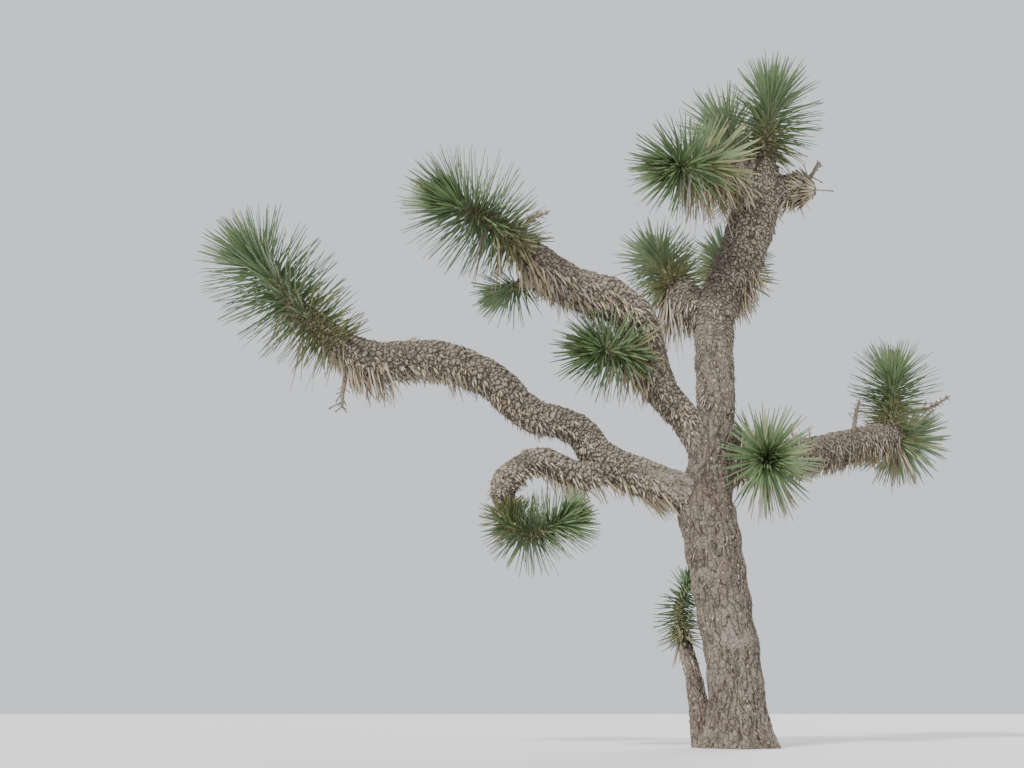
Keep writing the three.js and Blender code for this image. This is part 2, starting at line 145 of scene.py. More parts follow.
# Tufts
TUFT_ENDS = (0.01, 0.99)
TUFT_DEPTH = 0.012
TUFT_ROOT = 0.01
TUFT_SPLAY = 0.8
TUFT_OUT = 0.25
TUFT_LEAN = 0.4
TUFT_JITTER = 0.16
TUFT_LENGTHS = (0.5, 1.0)
TUFT_WIDTHS = (0.6, 1.0)
TUFT_SAGS = (-0.3, 0.3)

# How leaves are kept off limbs and off the ground
CLEAR_TESTS = (0.35, 0.5, 0.65, 0.8, 1.0)
CLEAR_SPACING = 0.03
CLEAR_FEWEST = 8
CLEAR_GROUND = 0.03
LINE_SAMPLES = 12

# Dry stalks
TWIG_ENDS = (0.5, 0.99)
TWIG_TIP = 0.4
TWIG_SIZES = (0.6, 1.0)
TWIG_SAGS = (-0.2, 0.3)
STRAW_SAG = 0.05
STRAW_FACING = (0.1, 0.2, 1.0)
JOINT_HEIGHT = 0.14
JOINT_SPACING = 0.045
ROD_RIDGES = 3
ROD_RIDGE_DEPTH = 0.06
ROD_TWIST = 9
ROD_GRAIN = 8

DOWN = np.array((0.0, 0.0, -1.0))

Range = tuple[float, float]
Stretches = tuple[tuple[float, float, float], ...]


class Group(Enum):
    """The limbs whose bark is joined into one piece, their withered leaves into another and their stubs into a
    third.
    """

    TRUNK = "trunk"
    LEADER = "leader"
    LEFT = "left"
    UPPER_LEFT = "upper_left"
    RIGHT = "right"


class Age(Enum):
    """The ages of leaves, each with a finish of its own."""

    OLD = 0
    GROWN = 1
    YOUNG = 2

    @property
    def slot(self) -> str:
        """Returns the name of the finish that blades of this age have."""
        return f"{self.name.title()} Blade"


class Zone(Enum):
    """The stretches of a leaf, each with a finish of its own."""

    FOOT = 0
    BLADE = 1
    SPINE = 2


@dataclass(frozen=True)
class Fringe:
    """The withered leaves and fibres that are left along a limb.

    Args:
        density: How many there are in each metre of the limb.
        shortest: Length of the shortest of them.
        longest: Length of the longest of them.
        top: Share of them that is left on the limb's upper side.
    """

    density: float
    shortest: float
    longest: float
    top: float = 0.15


@dataclass(frozen=True)
class Tuft:
    """A clump of withered leaves at one place of a limb or of a rosette's stem.

    Args:
        on: The limb or the rosette.
        share: Where it is, as a share of that one's length.
        spread: How far it runs to each side of that, as a share of the same length.
        count: How many leaves it has.
        length: Length of its longest leaves.
        rise: 1 on the upper side, and -1 where it hangs from the underside.
        lean: How far its leaves lean back along what carries it.
        side: How far to +X it is rooted, against straight up or down.
    """

    on: str
    share: float
    spread: float
    count: int
    length: float
    rise: float = -1.0
    lean: float = 0.5
    side: float = 0.0


@dataclass(frozen=True)
class Plan:
    """A limb or the stem of a rosette, as it grows from what carries it.

    Args:
        name: The node of the part that it stands for.
        group: The group of pieces that its bark and its withered leaves belong to.
        on: The limb that carries it, or None where it has its own foot.
        start: Share of its carrier's length at which it leaves the carrier's axis.
        stretches: Its course, as stretches of (length, heading, rise), in metres and degrees.
    """

    name: str
    group: Group
    on: str | None
    start: float
    stretches: Stretches


@dataclass(frozen=True)
class Limb(Plan):
    """The trunk, a bough or a young stem.

    Args:
        radii: Its radii, evenly spaced along it.
        fringe: What is left of its old leaves.
        foot: Where it stands on the ground.
        plated: Length along which the trunk's furrowed plates turn into leaf scars.
    """

    radii: tuple[float, ...]
    fringe: Fringe
    foot: tuple[float, float] = (0.0, 0.0)
    plated: float = 0.0


@dataclass(frozen=True)
class Rosette(Plan):
    """One rosette of leaves round a stem.

    Args:
        stem: Radius of the stem at its foot.
        reach: How far its leaves reach from the stem's axis.
        leaves: How many wide leaves the solid has.
        skirt: How many wide withered leaves hang from the solid.
        oldest: Length of the oldest leaves as a share of the reach.
        youngest: Length of the youngest leaves, at the tip, as a share of the reach.
        tilts: Degrees from the stem's direction: at its foot, its shoulder and its tip.
        finer: How many live leaves there are for each wide leaf of the solid.
        blunt: Radius of the stem near its tip, as a share of that at its foot.
    """

    stem: float
    reach: float
    leaves: int
    skirt: int
    oldest: float = 1.0
    youngest: float = 0.9
    tilts: tuple[float, float, float] = TILTS
    finer: int = FINER
    blunt: float = 0.34


@dataclass(frozen=True)
class Stalk:
    """A dry flower stalk.

    Args:
        name: The name of its piece.
        on: The limb or rosette that carries it.
        start: Share of its carrier's length at which it leaves the carrier's axis.
        stretches: Its course, as stretches of (length, heading, rise), in metres and degrees.
        radii: Its radii, evenly spaced along it.
        node: The node of the part that it stands for, if it is one of its own.
        twigs: How many twigs it has.
        straws: Long straws on it, as (share of its length, heading, rise, length).
    """

    name: str
    on: str
    start: float
    stretches: Stretches
    radii: tuple[float, ...]
    node: str | None = None
    twigs: int = 22
    straws: tuple[tuple[float, float, float, float], ...] = ()


SHAGGY = Fringe(1150, 0.03, 0.095, 0.3)
WORN = Fringe(850, 0.015, 0.048, 0.06)
FRAYED = Fringe(700, 0.008, 0.028, 1.0)

LIMBS = (
    Limb(
        "trunk", Group.TRUNK, None, 0.0,
        ((0.280, 0, 89), (0.220, 180, 88), (0.175, 180, 83), (0.310, 180, 84), (0.215, 180, 83),
         (0.120, 180, 86), (0.415, 0, 79)),
        (0.136, 0.132, 0.137, 0.143, 0.147, 0.154, 0.118, 0.112), FRAYED,
    ),
    Limb(
        "leader", Group.LEADER, "trunk", 0.98,
        ((0.175, 14, 84), (0.300, 46, 87), (0.220, 28, 82), (0.165, 0, 68), (0.185, -19, 61),
         (0.330, -42, 66), (0.265, -41, 78)),
        (0.103, 0.107, 0.110, 0.130, 0.136, 0.104), WORN, plated=0.90,
    ),
    Limb(
        "left_bough", Group.LEFT, "trunk", 0.755,
        ((0.370, -171, 18), (0.230, -165, 22), (0.214, -163, 46), (0.265, -162, 13), (0.266, -160, 37),
         (0.283, -166, 18), (0.310, -167, -5), (0.175, -170, 10)),
        (0.104, 0.104, 0.085, 0.097, 0.103, 0.098), WORN, plated=0.60,
    ),
    Limb(
        "curl_bough_rise", Group.LEFT, "left_bough", 0.25,
        ((0.205, -157, -21), (0.205, -161, 18), (0.125, -168, -8)),
        (0.080, 0.075, 0.071, 0.070), WORN,
    ),
    Limb(
        "curl_bough_turn", Group.LEFT, "curl_bough_rise", 0.96,
        ((0.145, -166, -41), (0.110, -153, -74)),
        (0.066, 0.073, 0.064), WORN,
    ),
    Limb(
        "second_bough", Group.UPPER_LEFT, "trunk", 0.84,
        ((0.180, -164, 73), (0.155, -164, 60), (0.205, -165, 50), (0.200, -158, 71)),
        (0.076, 0.077, 0.085, 0.096, 0.102), WORN, plated=0.45,
    ),
    Limb(
        "upper_left_bough", Group.UPPER_LEFT, "second_bough", 0.97,
        ((0.205, -134, 64), (0.195, -153, 31), (0.260, -152, 6), (0.290, -147, 22)),
        (0.094, 0.111, 0.118, 0.111, 0.094), SHAGGY,
    ),
    Limb(
        "inner_bough", Group.LEADER, "leader", 0.39,
        ((0.200, 123, 46), (0.200, 124, 48)),
        (0.100, 0.112, 0.096), SHAGGY,
    ),
    Limb(
        "back_bough", Group.LEADER, "leader", 0.51,
        ((0.220, 69, 33), (0.180, 68, 38)),
        (0.098, 0.104, 0.090), SHAGGY,
    ),
    Limb(
        "top_left_bough", Group.LEADER, "leader", 0.815,
        ((0.225, -133, 38), (0.170, -143, 15)),
        (0.094, 0.096, 0.086), SHAGGY,
    ),
    Limb(
        "right_bough", Group.RIGHT, "trunk", 0.83,
        ((0.260, 24, 26), (0.410, 30, 9.5), (0.450, 32, 15.3), (0.385, 27, 16)),
        (0.100, 0.106, 0.101, 0.101, 0.098), SHAGGY, plated=0.35,
    ),
    Limb(
        "sprout_stem", Group.TRUNK, None, 0.0,
        ((0.330, 111, 83), (0.180, 126, 76), (0.063, 157, 75)),
        (0.060, 0.054, 0.046, 0.038), FRAYED, (-0.168, 0.045),
    ),
)

ROSETTES = (
    Rosette("left_tip_rosette", Group.LEFT, "left_bough", 0.985,
            ((0.340, -169, 38), (0.345, -170, 47)), 0.084, 0.372, 88, 3, 0.5, 0.88, (112.0, 78.0, 8.0)),
    Rosette("curl_rosette", Group.LEFT, "curl_bough_turn", 0.93,
            ((0.130, -20, -77), (0.143, -22, -33), (0.176, -16, 19)), 0.056, 0.228, 56, 0, 0.55, finer=11),
    Rosette("upper_left_rosette", Group.UPPER_LEFT, "upper_left_bough", 0.975,
            ((0.250, -147, 31), (0.245, -146, 12)), 0.082, 0.368, 72, 4, 0.45, 0.87),
    Rosette("under_arm_rosette", Group.UPPER_LEFT, "upper_left_bough", 0.88,
            ((0.140, 146, -19), (0.110, 151, -13)), 0.062, 0.238, 42, 0, finer=5),
    Rosette("middle_rosette", Group.UPPER_LEFT, "second_bough", 0.985,
            ((0.165, -153, -1), (0.160, -146, -7)), 0.086, 0.305, 54, 6, 0.6),
    Rosette("inner_rosette", Group.LEADER, "inner_bough", 0.95,
            ((0.225, 116, 56), (0.180, 124, 56)), 0.084, 0.298, 56, 12),
    Rosette("back_rosette", Group.LEADER, "back_bough", 0.94,
            ((0.190, 76, 45), (0.170, 85, 42)), 0.080, 0.300, 56, 12),
    Rosette("top_left_rosette", Group.LEADER, "top_left_bough", 0.94,
            ((0.150, -150, -6), (0.175, -147, -22)), 0.076, 0.320, 60, 10, finer=7),
    Rosette("top_rosette", Group.LEADER, "leader", 0.985,
            ((0.180, -46, 74), (0.230, -52, 74)), 0.092, 0.340, 76, 0, 0.65, finer=6),
    Rosette("top_back_rosette", Group.LEADER, "leader", 0.88,
            ((0.345, 116, 69), (0.300, 113, 64)), 0.084, 0.350, 64, 0),
    Rosette("right_upper_rosette", Group.RIGHT, "right_bough", 0.985,
            ((0.190, 0, 70), (0.195, -53, 82)), 0.078, 0.315, 60, 0, 0.35, tilts=(106.0, 74.0, 8.0)),
    Rosette("right_tip_rosette", Group.RIGHT, "right_bough", 0.98,
            ((0.165, 43, 8), (0.195, 54, 12)), 0.082, 0.310, 60, 6),
    Rosette("right_front_rosette", Group.RIGHT, "right_bough", 0.28,
            ((0.165, -105, -14), (0.200, -98, -13)), 0.076, 0.330, 60, 6, finer=4),
    Rosette("sprout_rosette", Group.TRUNK, "sprout_stem", 0.96,
            ((0.132, 159, 79), (0.116, 35, 82), (0.113, 12, 63)), 0.036, 0.185, 48, 4, 0.8, 0.55,
            (108.0, 90.0, 6.0), 6),
)

TUFTS = (
    Tuft("left_bough", 0.975, 0.012, 60, 0.130),
    Tuft("left_bough", 0.925, 0.020, 70, 0.170),
    Tuft("left_bough", 0.800, 0.060, 100, 0.050),
    Tuft("left_bough", 0.735, 0.015, 18, 0.120),
    Tuft("left_bough", 0.485, 0.004, 4, 0.070),
    Tuft("left_bough", 0.225, 0.012, 24, 0.095, lean=0.8),
    Tuft("left_bough", 0.130, 0.025, 44, 0.150, lean=1.4),
    Tuft("left_bough", 0.845, 0.008, 24, 0.035, 1.0),
    Tuft("upper_left_bough", 0.900, 0.070, 50, 0.120),
    Tuft("upper_left_bough", 0.050, 0.040, 60, 0.100),
    Tuft("second_bough", 0.850, 0.060, 80, 0.100, side=-1.0),
    Tuft("curl_bough_rise", 0.480, 0.150, 60, 0.130),
    Tuft("left_tip_rosette", 0.060, 0.050, 60, 0.110),
    Tuft("top_left_bough", 0.750, 0.200, 10, 0.240),
    Tuft("top_left_rosette", 0.450, 0.300, 26, 0.430, lean=0.0),
    Tuft("inner_bough", 0.700, 0.250, 50, 0.180),
    Tuft("inner_bough", 0.970, 0.030, 44, 0.350, lean=0.0, side=-0.8),
    Tuft("inner_rosette", 0.200, 0.200, 56, 0.300, lean=0.0),
    Tuft("leader", 0.590, 0.035, 70, 0.170, lean=0.2, side=1.2),
    Tuft("dry_spur", 0.350, 0.200, 30, 0.130, lean=0.9),
    Tuft("dry_spur", 0.150, 0.120, 30, 0.050, 1.0),
    Tuft("back_bough", 0.700, 0.250, 50, 0.160),
    Tuft("right_bough", 0.930, 0.050, 36, 0.090),
    Tuft("right_bough", 0.270, 0.100, 220, 0.095, 1.0, lean=0.3),
    Tuft("sprout_stem", 0.900, 0.080, 16, 0.100),
)

DRY_SPUR = Rosette(
    "dry_spur", Group.LEADER, "leader", 0.875,
    ((0.202, 6, 21), (0.153, 8, 2)), 0.118, 0.215, 40, 10, 1.0, 0.9, (160.0, 150.0, 140.0), 9, 0.62,
)

PLANS = {plan.name: plan for plan in (*LIMBS, *ROSETTES, DRY_SPUR)}

STALKS = (
    Stalk("left_stalk", "left_bough", 0.985, ((0.170, -170, -76), (0.115, -150, -88)),
          (0.015, 0.013, 0.007), "left_dry_stalk", twigs=8, straws=(
              (0.99, 180, -40, 0.045), (0.99, 0, -48, 0.042), (0.9, 180, -27, 0.078), (0.72, 184, -58, 0.062),
              (0.82, -4, -62, 0.045),
          )),
    Stalk("right_stalk", "right_bough", 0.785, ((0.180, 20, 74), (0.125, 0, 72)),
          (0.015, 0.013, 0.006), "right_dry_stalk"),
    Stalk("upper_left_stalk", "upper_left_rosette", 0.22, ((0.140, -30, 58), (0.105, -4, 25)),
          (0.018, 0.014, 0.006)),
    Stalk("right_upper_stalk", "right_upper_rosette", 0.4,
          ((0.150, 8, 12), (0.120, 0, 14), (0.140, 0, 30)), (0.015, 0.012, 0.009, 0.005)),
    Stalk("spur_stalk", "dry_spur", 0.94, ((0.078, 22, 82), (0.057, -4, 58), (0.065, -3, 58)),
          (0.015, 0.013, 0.011, 0.014), twigs=3, straws=(
              (0.02, 0, -1, 0.145), (0.1, -40, -80, 0.085), (0.1, 200, -74, 0.095), (0.48, -10, -35, 0.080),
              (0.3, 190, 78, 0.130), (0.5, 175, 4, 0.070), (0.8, -5, 22, 0.045),
          )),
)


def lerp(a: float | np.ndarray, b: float | np.ndarray, share: float | np.ndarray) -> float | np.ndarray:
    """Returns the value at a share of the way from a to b."""
    return a + (b - a) * share


def smooth(low: float, high: float, value: np.ndarray) -> np.ndarray:
    """Returns 0 below low, 1 above high and a smooth step between them."""
    share = np.clip((value - low) / (high - low), 0, 1)
    return share * share * (3 - 2 * share)


def unit(vectors: np.ndarray) -> np.ndarray:
    """Returns the vectors, the rows of an array, at length 1."""
    return vectors / np.maximum(np.linalg.norm(vectors, axis=-1, keepdims=True), 1e-9)


def spaced(values: Sequence[float], share: np.ndarray) -> np.ndarray:
    """Returns the value at each share of a length along which the given values are evenly spaced."""
    return np.interp(share, np.linspace(0, 1, len(values)), values)


class Line:
    """A smooth line through points, walked by shares of its length."""

    STEPS = 240
    FINE_STEPS = 1200

    def __init__(self, points: np.ndarray) -> None:
        """Works out evenly spaced points of the line and a frame that doesn't twist at each of them.

        Args:
            points: The points that it runs through, one in each row.
        """
        fine = self._through(points)
        gaps = np.linalg.norm(np.diff(fine, axis=0), axis=1)
        reached = np.concatenate(([0.0], np.cumsum(gaps)))
        self.length = float(reached[-1])
        self.shares = np.linspace(0, 1, self.STEPS + 1)
        self.points = np.column_stack(
            [np.interp(self.shares, reached / self.length, fine[:, k]) for k in range(3)]
        )
        self.tangents = unit(np.gradient(self.points, axis=0))
        self.normals = self._untwisted()
        self.sides = np.cross(self.tangents, self.normals)

    def _through(self, points: np.ndarray) -> np.ndarray:
        """Draws a uniform Catmull-Rom curve.

        Args:
            points: The points that it runs through.

        Returns:
            Many points of the curve.
        """
        ends = np.vstack((2 * points[0] - points[1], points, 2 * points[-1] - points[-2]))
        walk = np.linspace(0, len(points) - 1, self.FINE_STEPS)
        piece = np.minimum(walk.astype(int), len(points) - 2)
        t = (walk - piece)[:, None]
        p0, p1, p2, p3 = (ends[piece + k] for k in range(4))
        t0, t1 = 0.5 * (p2 - p0), 0.5 * (p3 - p1)
        return p1 + t * (t0 + t * (-3 * p1 + 3 * p2 - 2 * t0 - t1 + t * (2 * p1 - 2 * p2 + t0 + t1)))

    def _untwisted(self) -> np.ndarray:
        """Carries a normal along the line without twisting.

        Returns:
            The normal at each point.
        """
        first = self.tangents[0]
        least = np.eye(3)[np.argmin(np.abs(first[::-1]))][::-1]
        normal = np.cross(first, unit(np.cross(first, least)))
        normals = []
        for tangent in self.tangents:
            normal = unit(normal - tangent * np.dot(normal, tangent))
            normals.append(normal)
        return np.array(normals)

    def at(self, share: np.ndarray) -> tuple[np.ndarray, ...]:
        """Walks to shares of the length.

        Args:
            share: The shares.

        Returns:
            The points, tangents, normals and sides there.
        """
        return tuple(
            np.stack([np.interp(share, self.shares, rows[:, k]) for k in range(3)], axis=-1)
            for rows in (self.points, self.tangents, self.normals, self.sides)
        )

    def around(self, share: np.ndarray, spin: np.ndarray) -> tuple[np.ndarray, np.ndarray, np.ndarray]:
        """Returns the points and tangents at shares of the length, and what lies outward there at angles."""
        points, tangents, normals, sides = self.at(share)
        return points, tangents, np.cos(spin)[:, None] * normals + np.sin(spin)[:, None] * sides


class Growth:
    """The lines of all limbs, stems and stalks, each grown from the one that carries it."""

    def __init__(self) -> None:
        """Grows every line in the order of the tables."""
        self.lines: dict[str, Line] = {}
        for plan in (*PLANS.values(), *STALKS):
            self.lines[plan.name] = Line(self._course(plan))

    def _course(self, plan: Plan | Stalk) -> np.ndarray:
        """Walks the stretches of a limb, a stem or a stalk.

        Args:
            plan: The limb, stem or stalk.

        Returns:
            The points between its stretches.
        """
        if plan.on is None:
            point = np.array((*plan.foot, -ROOT_DEPTH))
        else:
            point = self.lines[plan.on].at(np.array([plan.start]))[0][0]
        points = [point]
        for length, heading, rise in plan.stretches:
            turn, lift = math.radians(heading), math.radians(rise)
            step = (math.cos(lift) * math.cos(turn), math.cos(lift) * math.sin(turn), math.sin(lift))
            points.append(points[-1] + length * np.array(step))
        return np.array(points)


def limb_radius(limb: Limb, line: Line, share: np.ndarray, angle: np.ndarray) -> np.ndarray:
    """Works out the radius of a limb, its swellings and root flare included.

    Args:
        limb: The limb.
        line: Its line.
        share: Shares of its length.
        angle: Angles round it.

    Returns:
        The radius at those shares and angles.
    """
    along = share * line.length
    sway = KNOB_SWAY * np.sin(angle + along / KNOB_DRIFT)
    swelling = np.sin(2 * math.pi * along / KNOB_SPACING + sway)
    radius = spaced(limb.radii, share) * (1 + KNOB_HEIGHT * np.sin(math.pi * share) * swelling)
    if limb.name == "trunk":
        height = np.maximum(np.interp(share, line.shares, line.points[:, 2]), 0)
        lobe = 1 + FLARE_LOBE_DEPTH * np.cos(FLARE_LOBES * angle + FLARE_TURN)
        radius = radius + FLARE_WIDTH * lobe * np.exp(-height / FLARE_HEIGHT)
    return radius


def stem_radius(rosette: Rosette, share: np.ndarray) -> np.ndarray:
    """Works out the radius of the stem inside a rosette, which tapers and rounds off at its tip.

    Args:
        rosette: The rosette.
        share: Shares of the stem's length.

    Returns:
        The radius at those shares.
    """
    over = np.maximum(0, share - DOME_START) / (DOME_END - DOME_START)
    taper = lerp(STEM_FOOT, rosette.blunt, smooth(0, 1, share))
    return rosette.stem * taper * np.sqrt(1 - over * over)


def girth(plan: Plan, line: Line, share: np.ndarray, angle: np.ndarray) -> np.ndarray:
    """Returns the radius of a limb, or of the stem inside a rosette, at shares and angles."""
    is_limb = isinstance(plan, Limb)
    return limb_radius(plan, line, share, angle) if is_limb else stem_radius(plan, share) + 0 * angle


def new_mesh(name: str, corners: np.ndarray, faces: Sequence[Sequence[int]]) -> bpy.types.Mesh:
    """Makes a mesh from arrays.

    Args:
        name: Its name.
        corners: Its corners, one in each row.
        faces: The numbers of each face's corners.

    Returns:
        The mesh.
    """
    mesh = bpy.data.meshes.new(name)
    mesh.from_pydata(corners.tolist(), [], [list(face) for face in faces])
    mesh.update()
    return mesh


def placed(made: bpy.types.Object) -> bpy.types.Object:
    """Puts a new object into the scene and returns it."""
    bpy.context.scene.collection.objects.link(made)
    return made


def new_object(name: str, mesh: bpy.types.Mesh) -> bpy.types.Object:
    """Returns an object that holds the mesh, at the origin, in the scene."""
    return placed(bpy.data.objects.new(name, mesh))


def corners_of(mesh: bpy.types.Mesh) -> np.ndarray:
    """Reads where a mesh's corners are.

    Args:
        mesh: The mesh.

    Returns:
        The corners, one in each row.
    """
    corners = np.zeros(len(mesh.vertices) * 3, dtype=np.float32)
    mesh.vertices.foreach_get("co", corners)
    return corners.reshape(-1, 3)


def store(mesh: bpy.types.Mesh, name: str, values: np.ndarray, domain: str = "POINT") -> None:
    """Stores numbers, or the vectors in the rows of an array, as a named attribute.

    Args:
        mesh: The mesh.
        name: The attribute's name.
        values: The values, one for each corner or face.
        domain: POINT where they belong to the corners, and FACE where they belong to the faces.
    """
    values = np.asarray(values, dtype=np.float32)
    kind, member = ("FLOAT_VECTOR", "vector") if values.ndim == 2 else ("FLOAT", "value")
    mesh.attributes.new(name, kind, domain).data.foreach_set(member, values.ravel())


def read(mesh: bpy.types.Mesh, name: str) -> np.ndarray:
    """Reads a named attribute of a mesh's corners.

    Args:
        mesh: The mesh.
        name: The attribute's name.

    Returns:
        Its values, one number or one row for each corner.
    """
    attribute = mesh.attributes[name]
    is_vector = attribute.data_type == "FLOAT_VECTOR"
    values = np.zeros(len(mesh.vertices) * (3 if is_vector else 1), dtype=np.float32)
    attribute.data.foreach_get("vector" if is_vector else "value", values)
    return values.reshape(-1, 3) if is_vector else values


def applied(made: bpy.types.Object, name: str) -> bpy.types.Object:
    """Turns what an object's modifiers make of it into a plain mesh, and removes the object.

    Args:
        made: The object.
        name: The name of the new one.

    Returns:
        An object that holds the plain mesh.
    """
    graph = bpy.context.evaluated_depsgraph_get()
    mesh = bpy.data.meshes.new_from_object(
        made.evaluated_get(graph), preserve_all_data_layers=True, depsgraph=graph
    )
    bpy.data.objects.remove(made)
    mesh.name = name
    return new_object(name, mesh)


def tube(
    line: Line, sides: int, rings: int, radius: Callable[[np.ndarray, np.ndarray], np.ndarray]
) -> tuple[np.ndarray, list[tuple[int, ...]]]:
    """Makes a closed tube along a line.

    Args:
        line: The line that it follows.
        sides: How many sides it has.
        rings: How many stretches it has.
        radius: Gives the radius at shares of the length and angles round the line.

    Returns:
        The corners and the faces.
    """
    shares = np.linspace(0, 1, rings + 1)
    angles = 2 * math.pi * np.arange(sides) / sides
    centres, _, normals, across = line.at(shares)
    size = radius(shares[:, None], angles[None, :])[..., None]
    outward = np.cos(angles)[None, :, None] * normals[:, None] + np.sin(angles)[None, :, None] * across[:, None]
    corners = (centres[:, None] + size * outward).reshape(-1, 3)
    corners = np.vstack((corners, centres[0], centres[-1]))
    faces = []
    for j in range(sides):
        k = (j + 1) % sides
        for i in range(rings):
            faces.append((i * sides + j, i * sides + k, (i + 1) * sides + k, (i + 1) * sides + j))
        faces.append((len(corners) - 2, k, j))
        faces.append((len(corners) - 1, rings * sides + j, rings * sides + k))
    return corners, faces


class Nodes:
    """A node tree while it is built, with short ways to add nodes and join them."""

    def __init__(self, tree: bpy.types.NodeTree) -> None:
        """Keeps the tree."""
        self.tree = tree

    def add(self, kind: str, inputs: dict | None = None, **settings: object) -> bpy.types.Node:
        """Adds a node.

        Args:
            kind: The node's type.
            inputs: For each input, by name or number, the socket that feeds it or its value.
            settings: The node's own properties.

        Returns:
            The node.
        """
        node = self.tree.nodes.new(kind)
        for name, value in settings.items():
            setattr(node, name, value)
        for name, value in (inputs or {}).items():
            if isinstance(value, bpy.types.NodeSocket):
                self.tree.links.new(value, node.inputs[name])
            else:
                node.inputs[name].default_value = value
        return node

    def first(self, kind: str, inputs: dict | None = None, **settings: object) -> bpy.types.NodeSocket:
        """Adds a node and returns its first output."""
        return self.add(kind, inputs, **settings).outputs[0]

    def finished(self, results: dict[str, bpy.types.NodeSocket]) -> bpy.types.NodeTree:
        """Joins the named outputs of a group to the sockets that feed them and returns the tree."""
        self.add("NodeGroupOutput", results)
        return self.tree

    def math(self, operation: str, *values: object) -> bpy.types.NodeSocket:
        """Returns the result of a calculation with numbers."""
        return self.first("ShaderNodeMath", dict(enumerate(values)), operation=operation)

    def vector(self, operation: str, *values: object) -> bpy.types.NodeSocket:
        """Returns the vector that a calculation with vectors gives."""
        return self.first("ShaderNodeVectorMath", dict(enumerate(values)), operation=operation)

    def scaled(self, value: object, scale: object) -> bpy.types.NodeSocket:
        """Returns a vector times a number."""
        return self.first("ShaderNodeVectorMath", {0: value, "Scale": scale}, operation="SCALE")

    def part(self, value: object, axis: int) -> bpy.types.NodeSocket:
        """Returns one of the three numbers of a vector."""
        return self.add("ShaderNodeSeparateXYZ", {0: value}).outputs[axis]

    def ramp(self, value: object, low: float, high: float, start: float = 0.0, end: float = 1.0
             ) -> bpy.types.NodeSocket:
        """Returns start below low, end above high and a smooth step between them."""
        inputs = {"Value": value, "From Min": low, "From Max": high, "To Min": start, "To Max": end}
        return self.first("ShaderNodeMapRange", inputs, interpolation_type="SMOOTHSTEP")

    def mix(self, share: object, a: object, b: object) -> bpy.types.NodeSocket:
        """Returns a colour between two colours."""
        return self.add("ShaderNodeMix", {0: share, 6: a, 7: b}, data_type="RGBA").outputs[2]

    def between(self, share: object, a: object, b: object) -> bpy.types.NodeSocket:
        """Returns a number between two numbers."""
        return self.first("ShaderNodeMix", {0: share, 2: a, 3: b}, data_type="FLOAT")

    def equal(self, value: object, wanted: int) -> bpy.types.NodeSocket:
        """Returns 1 where a value is the wanted whole number."""
        return self.math("COMPARE", value, float(wanted), 0.5)

    def noise(self, place: object, scale: object, detail: float = 2.0) -> bpy.types.NodeSocket:
        """Returns a cloudy value from 0 to 1."""
        return self.first("ShaderNodeTexNoise", {"Vector": place, "Scale": scale, "Detail": detail})

    def cells(self, place: object, feature: str) -> bpy.types.Node:
        """Adds a pattern of cells, one in each unit of the place, and returns its node."""
        return self.add("ShaderNodeTexVoronoi", {"Vector": place, "Scale": 1.0}, feature=feature)

    def named(self, name: str, kind: str = "FLOAT") -> bpy.types.NodeSocket:
        """Returns the values of a named attribute, in a geometry tree."""
        return self.first("GeometryNodeInputNamedAttribute", {"Name": name}, data_type=kind)

    def painted(self, name: str, output: str = "Vector") -> bpy.types.NodeSocket:
        """Returns the values of a named attribute, in a material."""
        return self.add("ShaderNodeAttribute", attribute_name=name).outputs[output]


def new_tree(name: str, kind: str, inputs: dict[str, str], outputs: dict[str, str]
             ) -> tuple[Nodes, bpy.types.NodeOutputs]:
    """Starts a node group.

    Args:
        name: The group's name.
        kind: The tree's type.
        inputs: The socket type of each named input.
        outputs: The socket type of each named output.

    Returns:
        The nodes, and the sockets that carry the group's inputs.
    """
    tree = bpy.data.node_groups.new(name, kind)
    for way, sockets in (("INPUT", inputs), ("OUTPUT", outputs)):
        for socket, of_type in sockets.items():
            tree.interface.new_socket(socket, in_out=way, socket_type=of_type)
    nodes = Nodes(tree)
    return nodes, nodes.add("NodeGroupInput").outputs


def modified(made: bpy.types.Object, tree: bpy.types.NodeTree, values: dict[str, object]) -> None:
    """Puts a geometry tree on an object.

    Args:
        made: The object.
        tree: The tree.
        values: The value of each of the tree's named inputs.
    """
    modifier = made.modifiers.new(tree.name, "NODES")
    modifier.node_group = tree
    for item in tree.interface.items_tree:
        if item.item_type == "SOCKET" and item.in_out == "INPUT" and item.name in values:
            modifier[item.identifier] = values[item.name]


FLOAT = "NodeSocketFloat"
VECTOR = "NodeSocketVector"
COLOUR = "NodeSocketColor"
GEOMETRY = "NodeSocketGeometry"
MATERIAL = "NodeSocketMaterial"
OBJECT = "NodeSocketObject"

Colour = tuple[float, float, float]


def rgba(colour: Colour) -> tuple[float, float, float, float]:
    """Returns an opaque colour."""
    return (*colour, 1.0)


